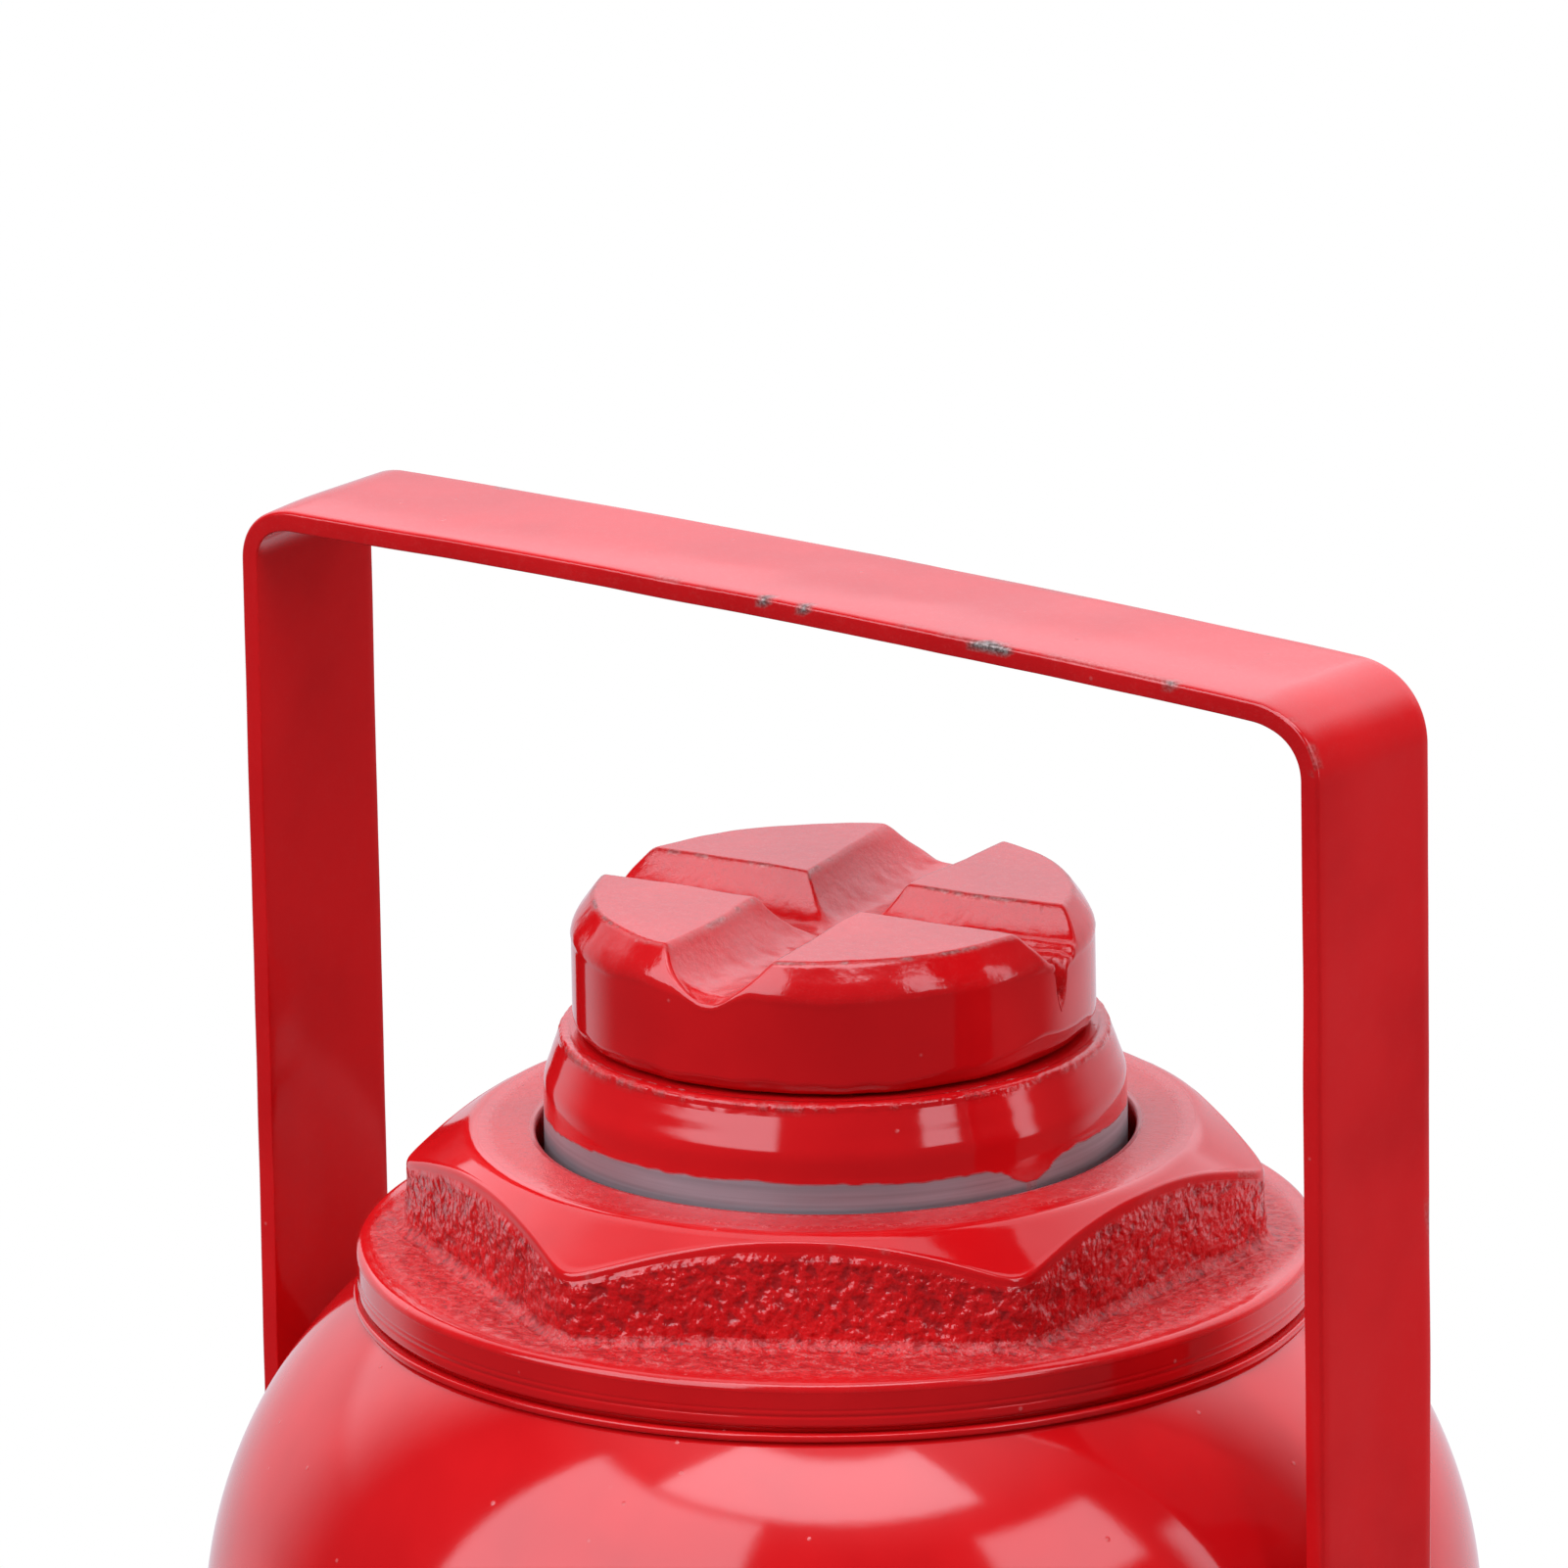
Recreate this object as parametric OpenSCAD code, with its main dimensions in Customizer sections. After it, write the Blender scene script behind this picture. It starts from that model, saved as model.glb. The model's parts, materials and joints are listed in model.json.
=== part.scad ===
// Hydraulic bottle jack of the 50 tonne class, ram down and carry handle upright.
// Millimetres. The origin is on the ram axis at the underside of the base, +Z is up.
// The pump stands at -Y and the carry handle's legs are at -X and +X.

/* [Ram and saddle] */
// Diameter of the ram
ram_d = 70; // [68:0.5:70]
// Travel of the ram from closed to fully raised
ram_stroke = 180; // [120:5:180]
// Height of the saddle's top face with the ram down
closed_h = 300; // [298:1:302]
// Diameter of the saddle
saddle_d = 62.8; // [60:0.2:64]
// Height of the saddle above the ram
saddle_h = 16; // [14:1:18]
// Depth of the two crossing grooves in the saddle
groove_depth = 5.6; // [4.5:0.1:7]
// width of the groove that runs from the front left to the back right
groove_w = 13.6; // [11:0.1:16]
// width of the groove that crosses it
cross_groove_w = 11.8; // [10:0.1:15]
// Turn of the crossed grooves about the ram axis
groove_turn = 9; // [0:1:45]

/* [Top nut] */
// Height of the nut's top face
nut_top_z = 271; // [270:0.5:272]
// Hexagon size across its corners
nut_hex_d = 104; // [100:1:106]
// Turn of the hexagon about the ram axis
nut_turn = 32; // [0:1:60]
// Height of the hexagon above the flange
nut_hex_h = 13.8; // [12:0.2:15]
// Diameter of the round flange
flange_d = 115.8; // [114:0.2:117]
// Height of the flange's rim
flange_h = 5.7; // [5:0.1:6]

/* [Reservoir] */
// Outside diameter of the reservoir shell
shell_d = 154.6; // [153:0.2:154.8]
// Wall of the shell
shell_t = 2.6; // [2:0.1:3]
// Radius of the round shoulder in section
shoulder_r = 54; // [50:1:58]
// Angle of the filler plug about the ram axis
filler_angle = 115; // [95:1:150]
// Height of the filler plug
filler_z = 188; // [176:1:196]

/* [Hydraulic cylinder] */
// Bore of the hydraulic cylinder
cylinder_bore = 86; // [86:0.1:86.4]
// Outside diameter of the hydraulic cylinder
cylinder_d = 108; // [107:0.5:108.5]

/* [Base] */
// Width of the foot along X
base_w = 170; // [166:1:176]
// Rear edge of the foot, from the ram axis
base_rear = 82; // [78:1:85]
// Front edge of the foot, from the ram axis
base_front = 140; // [138:1:146]
// Thickness of the foot
foot_h = 18; // [16:1:20]
// Diameter of the round seat under the reservoir
seat_d = 166; // [164:1:168]

/* [Carry handle] */
// Outside width over both legs
handle_w = 162.2; // [162:0.1:163]
// Shift of the handle towards -X
handle_shift = 1.0; // [0.8:0.1:1.2]
// Width of the strap
strap_w = 21.9; // [20:0.1:24]
// Thickness of the strap
strap_t = 2.5; // [2.3:0.1:2.6]
// Height of the bar's top face
bar_top_z = 338.4; // [336:0.2:341]
// Height of the handle's pivots
pivot_z = 165; // [160:1:170]
// Outside radius of the bend at the -X corner
bend_left = 8; // [6:0.5:12]
// Outside radius of the bend at the +X corner
bend_right = 9.5; // [8:0.5:16]

/* [Pump] */
// Distance of the pump from the ram axis
pump_y = 117; // [116:0.5:118]
// Diameter of the pump plunger
plunger_d = 16; // [14:0.5:16]
// Outside diameter of the pump cylinder
pump_d = 30; // [28:0.5:31]
// Height of the plunger's pin with the plunger down
pin_z = 116; // [115:0.5:118]
// Distance between the lever's two pins
arm = 28; // [27:0.5:29]
// Half of the lever's swing
half_swing = 21.5; // [18:0.5:21.5]
// Slope of the handle socket with the plunger down
socket_slope = 15; // [12:1:20]
// Diameter of the bar that the handle socket takes
bar_bore = 29.2; // [28:0.2:30]
// Reach of the handle socket from the plunger's pin
socket_reach = 100; // [90:1:105]
// Diameter of the three lever pins
lever_pin_d = 10; // [9:0.5:10]

/* [Release valve] */
// Side offset of the release valve
release_x = 42; // [40:0.5:44]
// Height of the release valve
release_z = 20; // [19:0.5:21]

/* [Hidden] */
$fn = 96;

ram_r = ram_d / 2;
fit = 0.05; // radial clearance of a running fit
gap = 0.3; // space between pieces that move past each other
turn = 360;
out = 200; // longer than any piece, for cuts that go right through

saddle_z = closed_h - saddle_h;
ram_top_z = saddle_z - 0.6;
ram_chamfer = [2.2, 6];
stub_r = 12;
stub_h = 16;

flange_top_z = nut_top_z - nut_hex_h;
flange_low_z = flange_top_z - flange_h;
seal_ring_t = 0.9;
shell_top_z = flange_low_z - 0.6 - seal_ring_t;
nut_bore_r = ram_r + 0.9;
nut_face_r = 44;
nut_chamfer_h = 5.4;
skirt_r = 47;
skirt_z = 226;
wiper_z = 255;
wiper_h = 7;

shell_r = shell_d / 2;
shell_mouth_r = 54.6;
shoulder_edge_r = 57.4;
shoulder_x = shell_r - shoulder_r;
shoulder_z = shell_top_z - sqrt(pow(shoulder_r, 2) - pow(shoulder_edge_r - shoulder_x, 2));
shell_z = 31;

floor_z = 24;
seat_z = 36;
reservoir_floor_z = 34;
cylinder_r = cylinder_d / 2;
bore_r = cylinder_bore / 2;
cylinder_top_z = shell_top_z + 0.4;

piston_top_z = skirt_z - 0.5 - ram_stroke;
piston_z = 31;
piston_r = bore_r - fit;
spigot_r = 26;
spigot_z = 26;

handle_left = -handle_w / 2 - handle_shift;
handle_right = handle_w / 2 - handle_shift;
pivot_r = 5;
boss_r = 9;
boss_x = shell_r + 0.05;

pump_seat_z = 26;
pump_boss_z = 50;
pump_top_z = 92;
gland_top_z = 100;
plunger_r = plunger_d / 2;
pin_r = lever_pin_d / 2;
link_dy = arm * cos(half_swing);
link_dz = arm * sin(half_swing);
link_y = -pump_y + link_dy;
link_z = pin_z + link_dz;
lug_y = -pump_y + arm * (1 + cos(half_swing)) / 2;
lug_z = 52;
open_clearance = 1.2; // slack of the link's lower hole, which the straight-line coupling needs
eye_half = 8;
cheek_in = eye_half + 0.4;
cheek_t = 5;
link_in = cheek_in + cheek_t + 0.4;
link_t = 4.5;
link_out = link_in + link_t;
lug_half = link_in - 0.4;
socket_r = 18.5;
socket_start = 20;
socket_floor = 32;

suction_seat_z = 16;
discharge_xy = [20, -95];
discharge_seat_z = 15;
gallery_z = 8;
inlet_xy = [-30, -56];
relief_z = 9;
relief_seat_x = -20;
ball_r = 5;
relief_ball_r = 3.5;
release_ball_r = 4;
release_seat_y = -80;
release_seat_r = 3.2;
spindle_r = 7;

enamel = [0.78, 0.08, 0.10];
bare_steel = [0.55, 0.55, 0.56];
dark_steel = [0.32, 0.32, 0.34];
zinc = [0.72, 0.72, 0.70];
brass = [0.78, 0.62, 0.32];
rubber = [0.07, 0.07, 0.07];
bronze = [0.60, 0.42, 0.22];
spring_steel = [0.42, 0.42, 0.45];

// ---- shared shapes ----

// Upright ring of rectangular section
module ring(z, h, r_in, r_out) {
  translate([0, 0, z]) difference() {
    cylinder(h = h, r = r_out);
    translate([0, 0, -1]) cylinder(h = h + 2, r = r_in);
  }
}

// Ring of round section, such as an O-ring
module o_ring(z, r_mid, r_wire) {
  translate([0, 0, z]) rotate_extrude() translate([r_mid, 0]) circle(r = r_wire, $fn = 32);
}

// Cylinder along X between two places
module x_rod(x0, x1, r) {
  translate([x0, 0, 0]) rotate([0, 90, 0]) cylinder(h = x1 - x0, r = r);
}

// Cylinder along Y between two places
module y_rod(y0, y1, r) {
  translate([0, y0, 0]) rotate([-90, 0, 0]) cylinder(h = y1 - y0, r = r);
}

// Drilled passage between two points
module passage(p, q, r) {
  v = q - p;
  translate(p)
    rotate([0, acos(v[2] / norm(v)), atan2(v[1], v[0])])
      cylinder(h = norm(v), r = r);
}

// Rectangle with round corners, drawn from its lowest corner
module rounded_rect(p, size, r) {
  translate(p) {
    translate([r, 0]) square([size[0] - 2 * r, size[1]]);
    translate([0, r]) square([size[0], size[1] - 2 * r]);
    for (x = [r, size[0] - r], y = [r, size[1] - r]) translate([x, y]) circle(r = r);
  }
}

// Bar with round ends between two points of a plane
module round_bar(p, q, r) {
  v = q - p;
  translate(p) circle(r = r);
  translate(q) circle(r = r);
  translate(p) rotate(atan2(v[1], v[0])) translate([0, -r]) square([norm(v), 2 * r]);
}

// Turns a flat outline drawn in (y, z) into a plate between two x places
module yz_plate(x0, x1) {
  translate([x0, 0, 0]) rotate([90, 0, 90]) linear_extrude(height = x1 - x0) children();
}

// Hexagon bar along X, given across its flats
module x_hex(x0, x1, flats) {
  translate([x0, 0, 0]) rotate([0, 90, 0]) cylinder(h = x1 - x0, r = flats / sqrt(3), $fn = 6);
}

// Retaining clip on a lever pin, an open ring around the pin's groove
module pin_clip(x, t) {
  difference() {
    x_rod(x, x + t, pin_r + 3.2);
    x_rod(x - 1, x + t + 1, pin_r - 0.6);
    translate([x - 1, -2.6, 0]) cube([t + 2, 5.2, pin_r + 5]);
  }
}

// Both clips of a pin, one at each end
module clip_pair(x, t) {
  pin_clip(x, t);
  pin_clip(-x - t, t);
}

// Lever pin along X with two clip grooves
module lever_pin(half, clip_x, clip_t) {
  difference() {
    x_rod(-half, half, pin_r);
    for (x = [clip_x, -clip_x - clip_t]) difference() {
      x_rod(x, x + clip_t, pin_r + 1);
      x_rod(x - 1, x + clip_t + 1, pin_r - 0.6);
    }
  }
}

// Compression spring standing on the XY plane, swept round wire
module coil_spring(height, r_coil, r_wire, turns) {
  steps = 14;
  sides = 8;
  count = steps * turns;
  rise = height - 2 * r_wire;
  function spot(i, j) =
    let (a = turn * i / steps, b = turn * j / sides, r = r_coil + r_wire * cos(b))
      [r * cos(a), r * sin(a), r_wire + rise * i / count + r_wire * sin(b)];
  points = [for (i = [0:count]) for (j = [0:sides - 1]) spot(i, j)];
  skin = [
    for (i = [0:count - 1]) for (j = [0:sides - 1])
      let (k = (j + 1) % sides)
        [i * sides + j, (i + 1) * sides + j, (i + 1) * sides + k, i * sides + k]
  ];
  ends = [
    [for (j = [0:sides - 1]) j],
    [for (j = [sides - 1:-1:0]) count * sides + j]
  ];
  polyhedron(points = points, faces = concat(skin, ends), convexity = 8);
}

// ---- base and reservoir ----

module foot_outline() {
  rounded_rect([-base_w / 2, -82], [base_w, 82 + base_rear], 16);
  rounded_rect([-64, -base_front], [128, base_front], 12);
}

module base_casting() {
  linear_extrude(height = foot_h) foot_outline();
  cylinder(h = seat_z, r = seat_d / 2);
  translate([0, -pump_y, 0]) cylinder(h = pump_boss_z, r = 22);
  translate([-17, -pump_y, 0]) cube([34, pump_y - 70, 34]);
  yz_plate(-lug_half, lug_half) round_bar([lug_y, foot_h], [lug_y, lug_z], 8.5);
  translate([release_x, 0, release_z]) y_rod(-base_front, -70, 14);
  translate([release_x - 14, -base_front, 0]) cube([28, 70, release_z]);
  for (side = [-1, 1]) translate([side * 30 - 5, -base_front + 12, 0]) cube([10, 50, 30]);
}

module base() {
  pump_axis = [0, -pump_y, 0];
  color(enamel) difference() {
    base_casting();
    // seats of the hydraulic cylinder, the reservoir shell and the pump cylinder
    translate([0, 0, floor_z]) cylinder(h = out, r = cylinder_r + 0.1);
    ring(reservoir_floor_z, 10, cylinder_r - 1, shell_r - shell_t);
    ring(shell_z - 1, 10, shell_r - shell_t - 0.1, shell_r + 0.1);
    translate(pump_axis + [0, 0, pump_seat_z]) cylinder(h = out, r = pump_d / 2 - 2);
    translate(pump_axis + [0, 0, suction_seat_z]) cylinder(h = out, r = ball_r + 1.4);
    translate(pump_axis + [0, 0, gallery_z - 3]) cylinder(h = 20, r = 3.5);
    // suction gallery to the reservoir
    passage([0, -pump_y, gallery_z], [inlet_xy[0], inlet_xy[1], gallery_z], 3);
    translate([inlet_xy[0], inlet_xy[1], gallery_z - 3]) cylinder(h = out, r = 3);
    // discharge valve, its inlet from the pump and its outlet under the ram
    translate([discharge_xy[0], discharge_xy[1], -1]) cylinder(h = 1 + discharge_seat_z, r = 7);
    translate([discharge_xy[0], discharge_xy[1], 0]) cylinder(h = 22, r = 3.5);
    passage([0, -pump_y, 21], [discharge_xy[0], discharge_xy[1], 21], 2.5);
    passage([discharge_xy[0], discharge_xy[1], gallery_z + 2], [8, -24, gallery_z + 2], 2.5);
    translate([8, -24, gallery_z]) cylinder(h = 30, r = 2.5);
    // relief valve beside the pump
    translate([0, -pump_y, relief_z]) x_rod(-out, relief_seat_x, 6);
    passage([relief_seat_x - 1, -pump_y, relief_z], [-4, -pump_y, 21], 2);
    // release valve, its feed from under the ram and its return to the reservoir
    translate([release_x, 0, release_z]) {
      y_rod(-out, release_seat_y, spindle_r + fit);
      y_rod(-out, -124, 11);
      y_rod(release_seat_y - 1, release_seat_y + 12, release_seat_r);
    }
    passage([release_x, release_seat_y + 10, release_z - 1], [15, -20, release_z - 1], 2.5);
    translate([15, -20, release_z - 2]) cylinder(h = 20, r = 2.5);
    passage([release_x, release_seat_y - 4, release_z + 1], [40, -50, release_z + 6], 2.5);
    translate([40, -50, release_z + 4]) cylinder(h = 30, r = 2.5);
    // bore of the lug pin, and the ends of the drilled galleries
    translate([0, lug_y, lug_z]) x_rod(-out, out, pin_r);
    translate(pump_axis + [0, 0, -1]) cylinder(h = 7, r = 6);
    translate([inlet_xy[0], inlet_xy[1], -1]) cylinder(h = 7, r = 5);
  }
}

module reservoir_gasket() {
  color(rubber) ring(shell_z - 1, 1, shell_r - shell_t, shell_r);
}

module cylinder_gasket() {
  color(bronze) ring(floor_z, 0.8, bore_r + 1, cylinder_r);
}

module hydraulic_cylinder() {
  color(dark_steel) difference() {
    ring(floor_z + 0.8, cylinder_top_z - floor_z - 0.8, bore_r, cylinder_r);
    translate([0, 0, skirt_z]) cylinder(h = out, r = skirt_r);
    translate([0, 0, skirt_z - 3]) cylinder(h = 3.01, r1 = bore_r, r2 = skirt_r);
  }
}

module shell_section() {
  wall = [shell_r - shell_t, shell_z];
  translate(wall) square([shell_t, shoulder_z - shell_z]);
  intersection() {
    translate([shoulder_x, shoulder_z]) difference() {
      circle(r = shoulder_r);
      circle(r = shoulder_r - shell_t);
    }
    translate([shell_mouth_r, shoulder_z]) square([out, shell_top_z - shoulder_z]);
  }
  translate([shell_mouth_r, shell_top_z - shell_t])
    square([shoulder_edge_r - shell_mouth_r, shell_t]);
}

module reservoir_shell() {
  color(enamel) difference() {
    rotate_extrude() shell_section();
    translate([0, 0, pivot_z]) x_rod(-out, out, boss_r);
    translate([0, 0, filler_z]) rotate(filler_angle) x_rod(0, out, 7.6);
  }
}

// ---- top nut and ram seals ----

module nut_profile() {
  polygon([
    [0, skirt_z], [skirt_r, skirt_z], [skirt_r, shell_top_z + 0.4],
    [cylinder_r, shell_top_z + 0.4], [cylinder_r, shell_top_z + seal_ring_t],
    [flange_d / 2 - 0.8, shell_top_z + seal_ring_t], [flange_d / 2 - 0.8, flange_low_z],
    [flange_d / 2 - 0.3, flange_low_z + 0.1], [flange_d / 2, flange_low_z + 0.6],
    [flange_d / 2, flange_top_z - 0.5], [flange_d / 2 - 0.5, flange_top_z], [0, flange_top_z]
  ]);
}

module nut_head() {
  edge_r = nut_hex_d / 2;
  slope = nut_chamfer_h / (edge_r - nut_face_r);
  intersection() {
    translate([0, 0, flange_top_z - 1]) rotate(nut_turn)
      cylinder(h = nut_hex_h + 1, r = edge_r, $fn = 6);
    rotate_extrude() polygon([
      [0, flange_top_z - 2], [edge_r + 8, flange_top_z - 2],
      [edge_r + 8, nut_top_z - nut_chamfer_h - 8 * slope], [nut_face_r, nut_top_z], [0, nut_top_z]
    ]);
  }
}

module top_nut() {
  color(enamel) difference() {
    union() {
      rotate_extrude() nut_profile();
      nut_head();
    }
    translate([0, 0, skirt_z - 1]) cylinder(h = out, r = nut_bore_r);
    translate([0, 0, wiper_z]) cylinder(h = wiper_h, r = 39);
    translate([0, 0, skirt_z - 1]) cylinder(h = wiper_z - skirt_z - 3, r = 38);
    ring(243, 3.4, skirt_r - 2.6, skirt_r + 1);
    translate([0, 0, nut_top_z - 0.6]) cylinder(h = 2, r1 = nut_bore_r, r2 = nut_bore_r + 2);
  }
}

module nut_seal_ring() {
  color(enamel) ring(shell_top_z, seal_ring_t, shell_mouth_r, flange_d / 2 + 0.4);
}

module nut_o_ring() {
  color(rubber) o_ring(244.7, skirt_r - 1.3, 1.28);
}

module ram_guide_bush() {
  color(bronze) ring(skirt_z + 1, wiper_z - skirt_z - 5, ram_r + fit, 38);
}

module ram_wiper_seal() {
  color(rubber) difference() {
    ring(wiper_z, wiper_h, ram_r + fit, 39);
    translate([0, 0, wiper_z + wiper_h - 2]) cylinder(h = 3, r1 = ram_r, r2 = ram_r + 3);
  }
}

// ---- ram ----

module ram() {
  chamfer_r = ram_r - ram_chamfer[0];
  color(dark_steel) difference() {
    union() {
      translate([0, 0, piston_top_z])
        cylinder(h = ram_top_z - ram_chamfer[1] - piston_top_z, r = ram_r);
      translate([0, 0, ram_top_z - ram_chamfer[1]])
        cylinder(h = ram_chamfer[1], r1 = ram_r, r2 = chamfer_r);
      translate([0, 0, spigot_z]) cylinder(h = piston_top_z - spigot_z, r = spigot_r);
    }
    translate([0, 0, saddle_z - stub_h - 1]) cylinder(h = out, r = stub_r + fit);
  }
}

module ram_piston() {
  color(bare_steel) difference() {
    ring(piston_z, piston_top_z - piston_z, spigot_r, piston_r);
    ring(piston_z - 1, 6, piston_r - 6, piston_r + 1);
    ring(piston_top_z - 5, 3.5, piston_r - 2.5, piston_r + 1);
  }
}

module piston_seal() {
  color(rubber) difference() {
    ring(piston_z, 3.4, piston_r - 6, piston_r);
    translate([0, 0, piston_z]) rotate_extrude() polygon([
      [piston_r - 4.4, -1], [piston_r - 1.6, -1], [piston_r - 2.6, 2], [piston_r - 3.4, 2]
    ]);
  }
}

module piston_backup_ring() {
  color([0.9, 0.88, 0.8]) ring(piston_z + 3.4, 1.6, piston_r - 6, piston_r);
}

module piston_wear_ring() {
  color(bronze) ring(piston_top_z - 5, 3.5, piston_r - 2.5, piston_r);
}

module piston_nut() {
  color(bare_steel) difference() {
    ring(spigot_z + 0.2, piston_z - spigot_z - 0.2, spigot_r, piston_r - 3);
    for (a = [0:90:270]) rotate(a) translate([piston_r - 8, -3, spigot_z - 1]) cube([8, 6, 4]);
  }
}

// ---- saddle ----

module saddle_groove(w) {
  half = w / 2;
  translate([0, out / 2, closed_h]) rotate([90, 0, 0]) linear_extrude(height = out)
    polygon([
      [-half - 0.5, 1], [-half, 0], [-half * 0.72, -groove_depth * 0.62], [-half * 0.3, -groove_depth],
      [half * 0.3, -groove_depth], [half * 0.72, -groove_depth * 0.62], [half, 0], [half + 0.5, 1]
    ]);
}

module saddle() {
  saddle_r = saddle_d / 2;
  color(enamel) difference() {
    union() {
      rotate_extrude() polygon([
        [0, saddle_z], [saddle_r - 0.8, saddle_z], [saddle_r, saddle_z + 0.8],
        [saddle_r, closed_h - 4], [saddle_r - 2.8, closed_h], [0, closed_h]
      ]);
      translate([0, 0, saddle_z - stub_h]) cylinder(h = stub_h + 1, r = stub_r);
    }
    rotate(groove_turn) {
      saddle_groove(groove_w);
      rotate(90) saddle_groove(cross_groove_w);
    }
    ring(saddle_z - 9, 2.4, stub_r - 1.6, stub_r + 1);
  }
}

module saddle_ring() {
  color(spring_steel) difference() {
    o_ring(saddle_z - 7.8, stub_r - 0.75, 0.75);
    translate([stub_r - 4, -2, saddle_z - 10]) cube([8, 4, 4]);
  }
}

// ---- carry handle ----

// Area under a bent strap, with its own radius at each upper corner
module bend_area(x0, x1, top, r0, r1) {
  low = max(r0, r1);
  translate([x0, pivot_z]) square([x1 - x0, top - low - pivot_z]);
  translate([x0 + r0, pivot_z]) square([x1 - x0 - r0 - r1, top - pivot_z]);
  translate([x0, pivot_z]) square([r0, top - r0 - pivot_z]);
  translate([x1 - r1, pivot_z]) square([r1, top - r1 - pivot_z]);
  translate([x0 + r0, top - r0]) circle(r = r0);
  translate([x1 - r1, top - r1]) circle(r = r1);
}

module carry_handle() {
  color(enamel) difference() {
    union() {
      translate([0, strap_w / 2, 0]) rotate([90, 0, 0]) linear_extrude(height = strap_w)
        difference() {
          bend_area(handle_left, handle_right, bar_top_z, bend_left, bend_right);
          bend_area(handle_left + strap_t, handle_right - strap_t, bar_top_z - strap_t,
            bend_left - strap_t, bend_right - strap_t);
        }
      for (x = [handle_left, handle_right - strap_t])
        translate([0, 0, pivot_z]) x_rod(x, x + strap_t, strap_w / 2);
    }
    translate([0, 0, pivot_z]) x_rod(-out, out, pivot_r + fit);
  }
}

module pivot_bosses() {
  color(bare_steel) for (side = [0, 180]) rotate(side) translate([0, 0, pivot_z]) difference() {
    x_rod(shell_r - 13, boss_x, boss_r);
    x_rod(shell_r - 14, boss_x + 1, 4);
  }
}

// One pivot bolt: head, shoulder that the leg turns on, and thread in the boss
module pivot_bolt(face, leg_face) {
  x_rod(shell_r - 11, face, 4);
  x_rod(face, leg_face + gap, pivot_r);
  x_rod(leg_face + gap, leg_face + gap + 1.5, 4.5);
  x_hex(leg_face + gap + 1.5, leg_face + gap + 7.5, 16);
}

module pivot_bolts() {
  color(zinc) translate([0, 0, pivot_z]) {
    pivot_bolt(boss_x, handle_right);
    mirror([1, 0, 0]) pivot_bolt(boss_x, -handle_left);
  }
}

module pivot_washer(x) {
  difference() {
    x_rod(x, x + 1.5, 10);
    x_rod(x - 1, x + 3, 4.5);
  }
}

module pivot_washers() {
  color(zinc) translate([0, 0, pivot_z]) {
    pivot_washer(handle_right + gap);
    mirror([1, 0, 0]) pivot_washer(-handle_left + gap);
  }
}

// The handle sits off centre, and this spacer takes up the width at its -X leg
module pivot_spacer() {
  thick = -handle_left - strap_t - gap - boss_x;
  color(zinc) translate([0, 0, pivot_z]) mirror([1, 0, 0]) difference() {
    x_rod(boss_x, boss_x + thick, 9.5);
    x_rod(boss_x - 1, boss_x + thick + 1, pivot_r);
  }
}

// ---- pump ----

module at_pump() {
  translate([0, -pump_y, 0]) children();
}

module pump_cylinder() {
  wall_r = pump_d / 2;
  color(bare_steel) at_pump() difference() {
    union() {
      translate([0, 0, pump_seat_z + 1]) cylinder(h = pump_boss_z - pump_seat_z, r = wall_r - 2);
      translate([0, 0, pump_boss_z + 0.2]) cylinder(h = 11, r = 21, $fn = 6);
      translate([0, 0, pump_boss_z + 11]) cylinder(h = pump_top_z - pump_boss_z - 11, r = wall_r - 1);
    }
    translate([0, 0, pump_seat_z]) cylinder(h = out, r = plunger_r + fit);
    translate([0, 0, pump_seat_z]) cylinder(h = 6, r = plunger_r + 1);
  }
}

module pump_gasket() {
  color(bronze) at_pump() ring(pump_seat_z, 1, plunger_r + 1, pump_d / 2 - 2);
}

module pump_packing() {
  color(rubber) at_pump() ring(pump_top_z + 0.2, 4.6, plunger_r + fit, 12);
}

module pump_gland_nut() {
  color(zinc) at_pump() difference() {
    intersection() {
      translate([0, 0, 80]) cylinder(h = gland_top_z - 80, r = 20, $fn = 6);
      rotate_extrude() polygon([
        [0, 80], [18.6, 80], [20.5, 81.1], [20.5, gland_top_z - 1.4], [18, gland_top_z], [0, gland_top_z]
      ]);
    }
    translate([0, 0, 79]) cylinder(h = pump_top_z - 79 + 0.2, r = pump_d / 2 - 1);
    translate([0, 0, 79]) cylinder(h = pump_top_z - 79 + 4.9, r = 12);
    translate([0, 0, 79]) cylinder(h = out, r = plunger_r + 0.2);
  }
}

module pump_plunger() {
  color(bare_steel) at_pump() difference() {
    union() {
      translate([0, 0, 34]) cylinder(h = pin_z - 34, r = plunger_r);
      translate([0, 0, pin_z]) x_rod(-eye_half, eye_half, 10);
    }
    translate([0, 0, pin_z]) x_rod(-out, out, pin_r);
    ring(38, 3, plunger_r - 2, plunger_r + 1);
  }
}

module plunger_seal() {
  color(rubber) at_pump() ring(38, 3, plunger_r - 2, plunger_r + 0.02);
}

module plunger_pin() {
  color(zinc) translate([0, -pump_y, pin_z]) lever_pin(17, cheek_in + cheek_t + 0.4, 1.2);
}

module plunger_pin_clips() {
  color(spring_steel) translate([0, -pump_y, pin_z]) clip_pair(cheek_in + cheek_t + 0.4, 1.2);
}

// Outline of one cheek in (y, z), with the plunger's pin at the origin
module cheek_outline() {
  along = [-cos(socket_slope), sin(socket_slope)];
  across = [sin(socket_slope), cos(socket_slope)];
  reach = socket_start + 6;
  circle(r = 11);
  round_bar([0, 0], [link_dy, link_dz], 10);
  polygon([
    across * 11, along * reach + across * 15, along * reach - across * 15, -across * 11
  ]);
}

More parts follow.
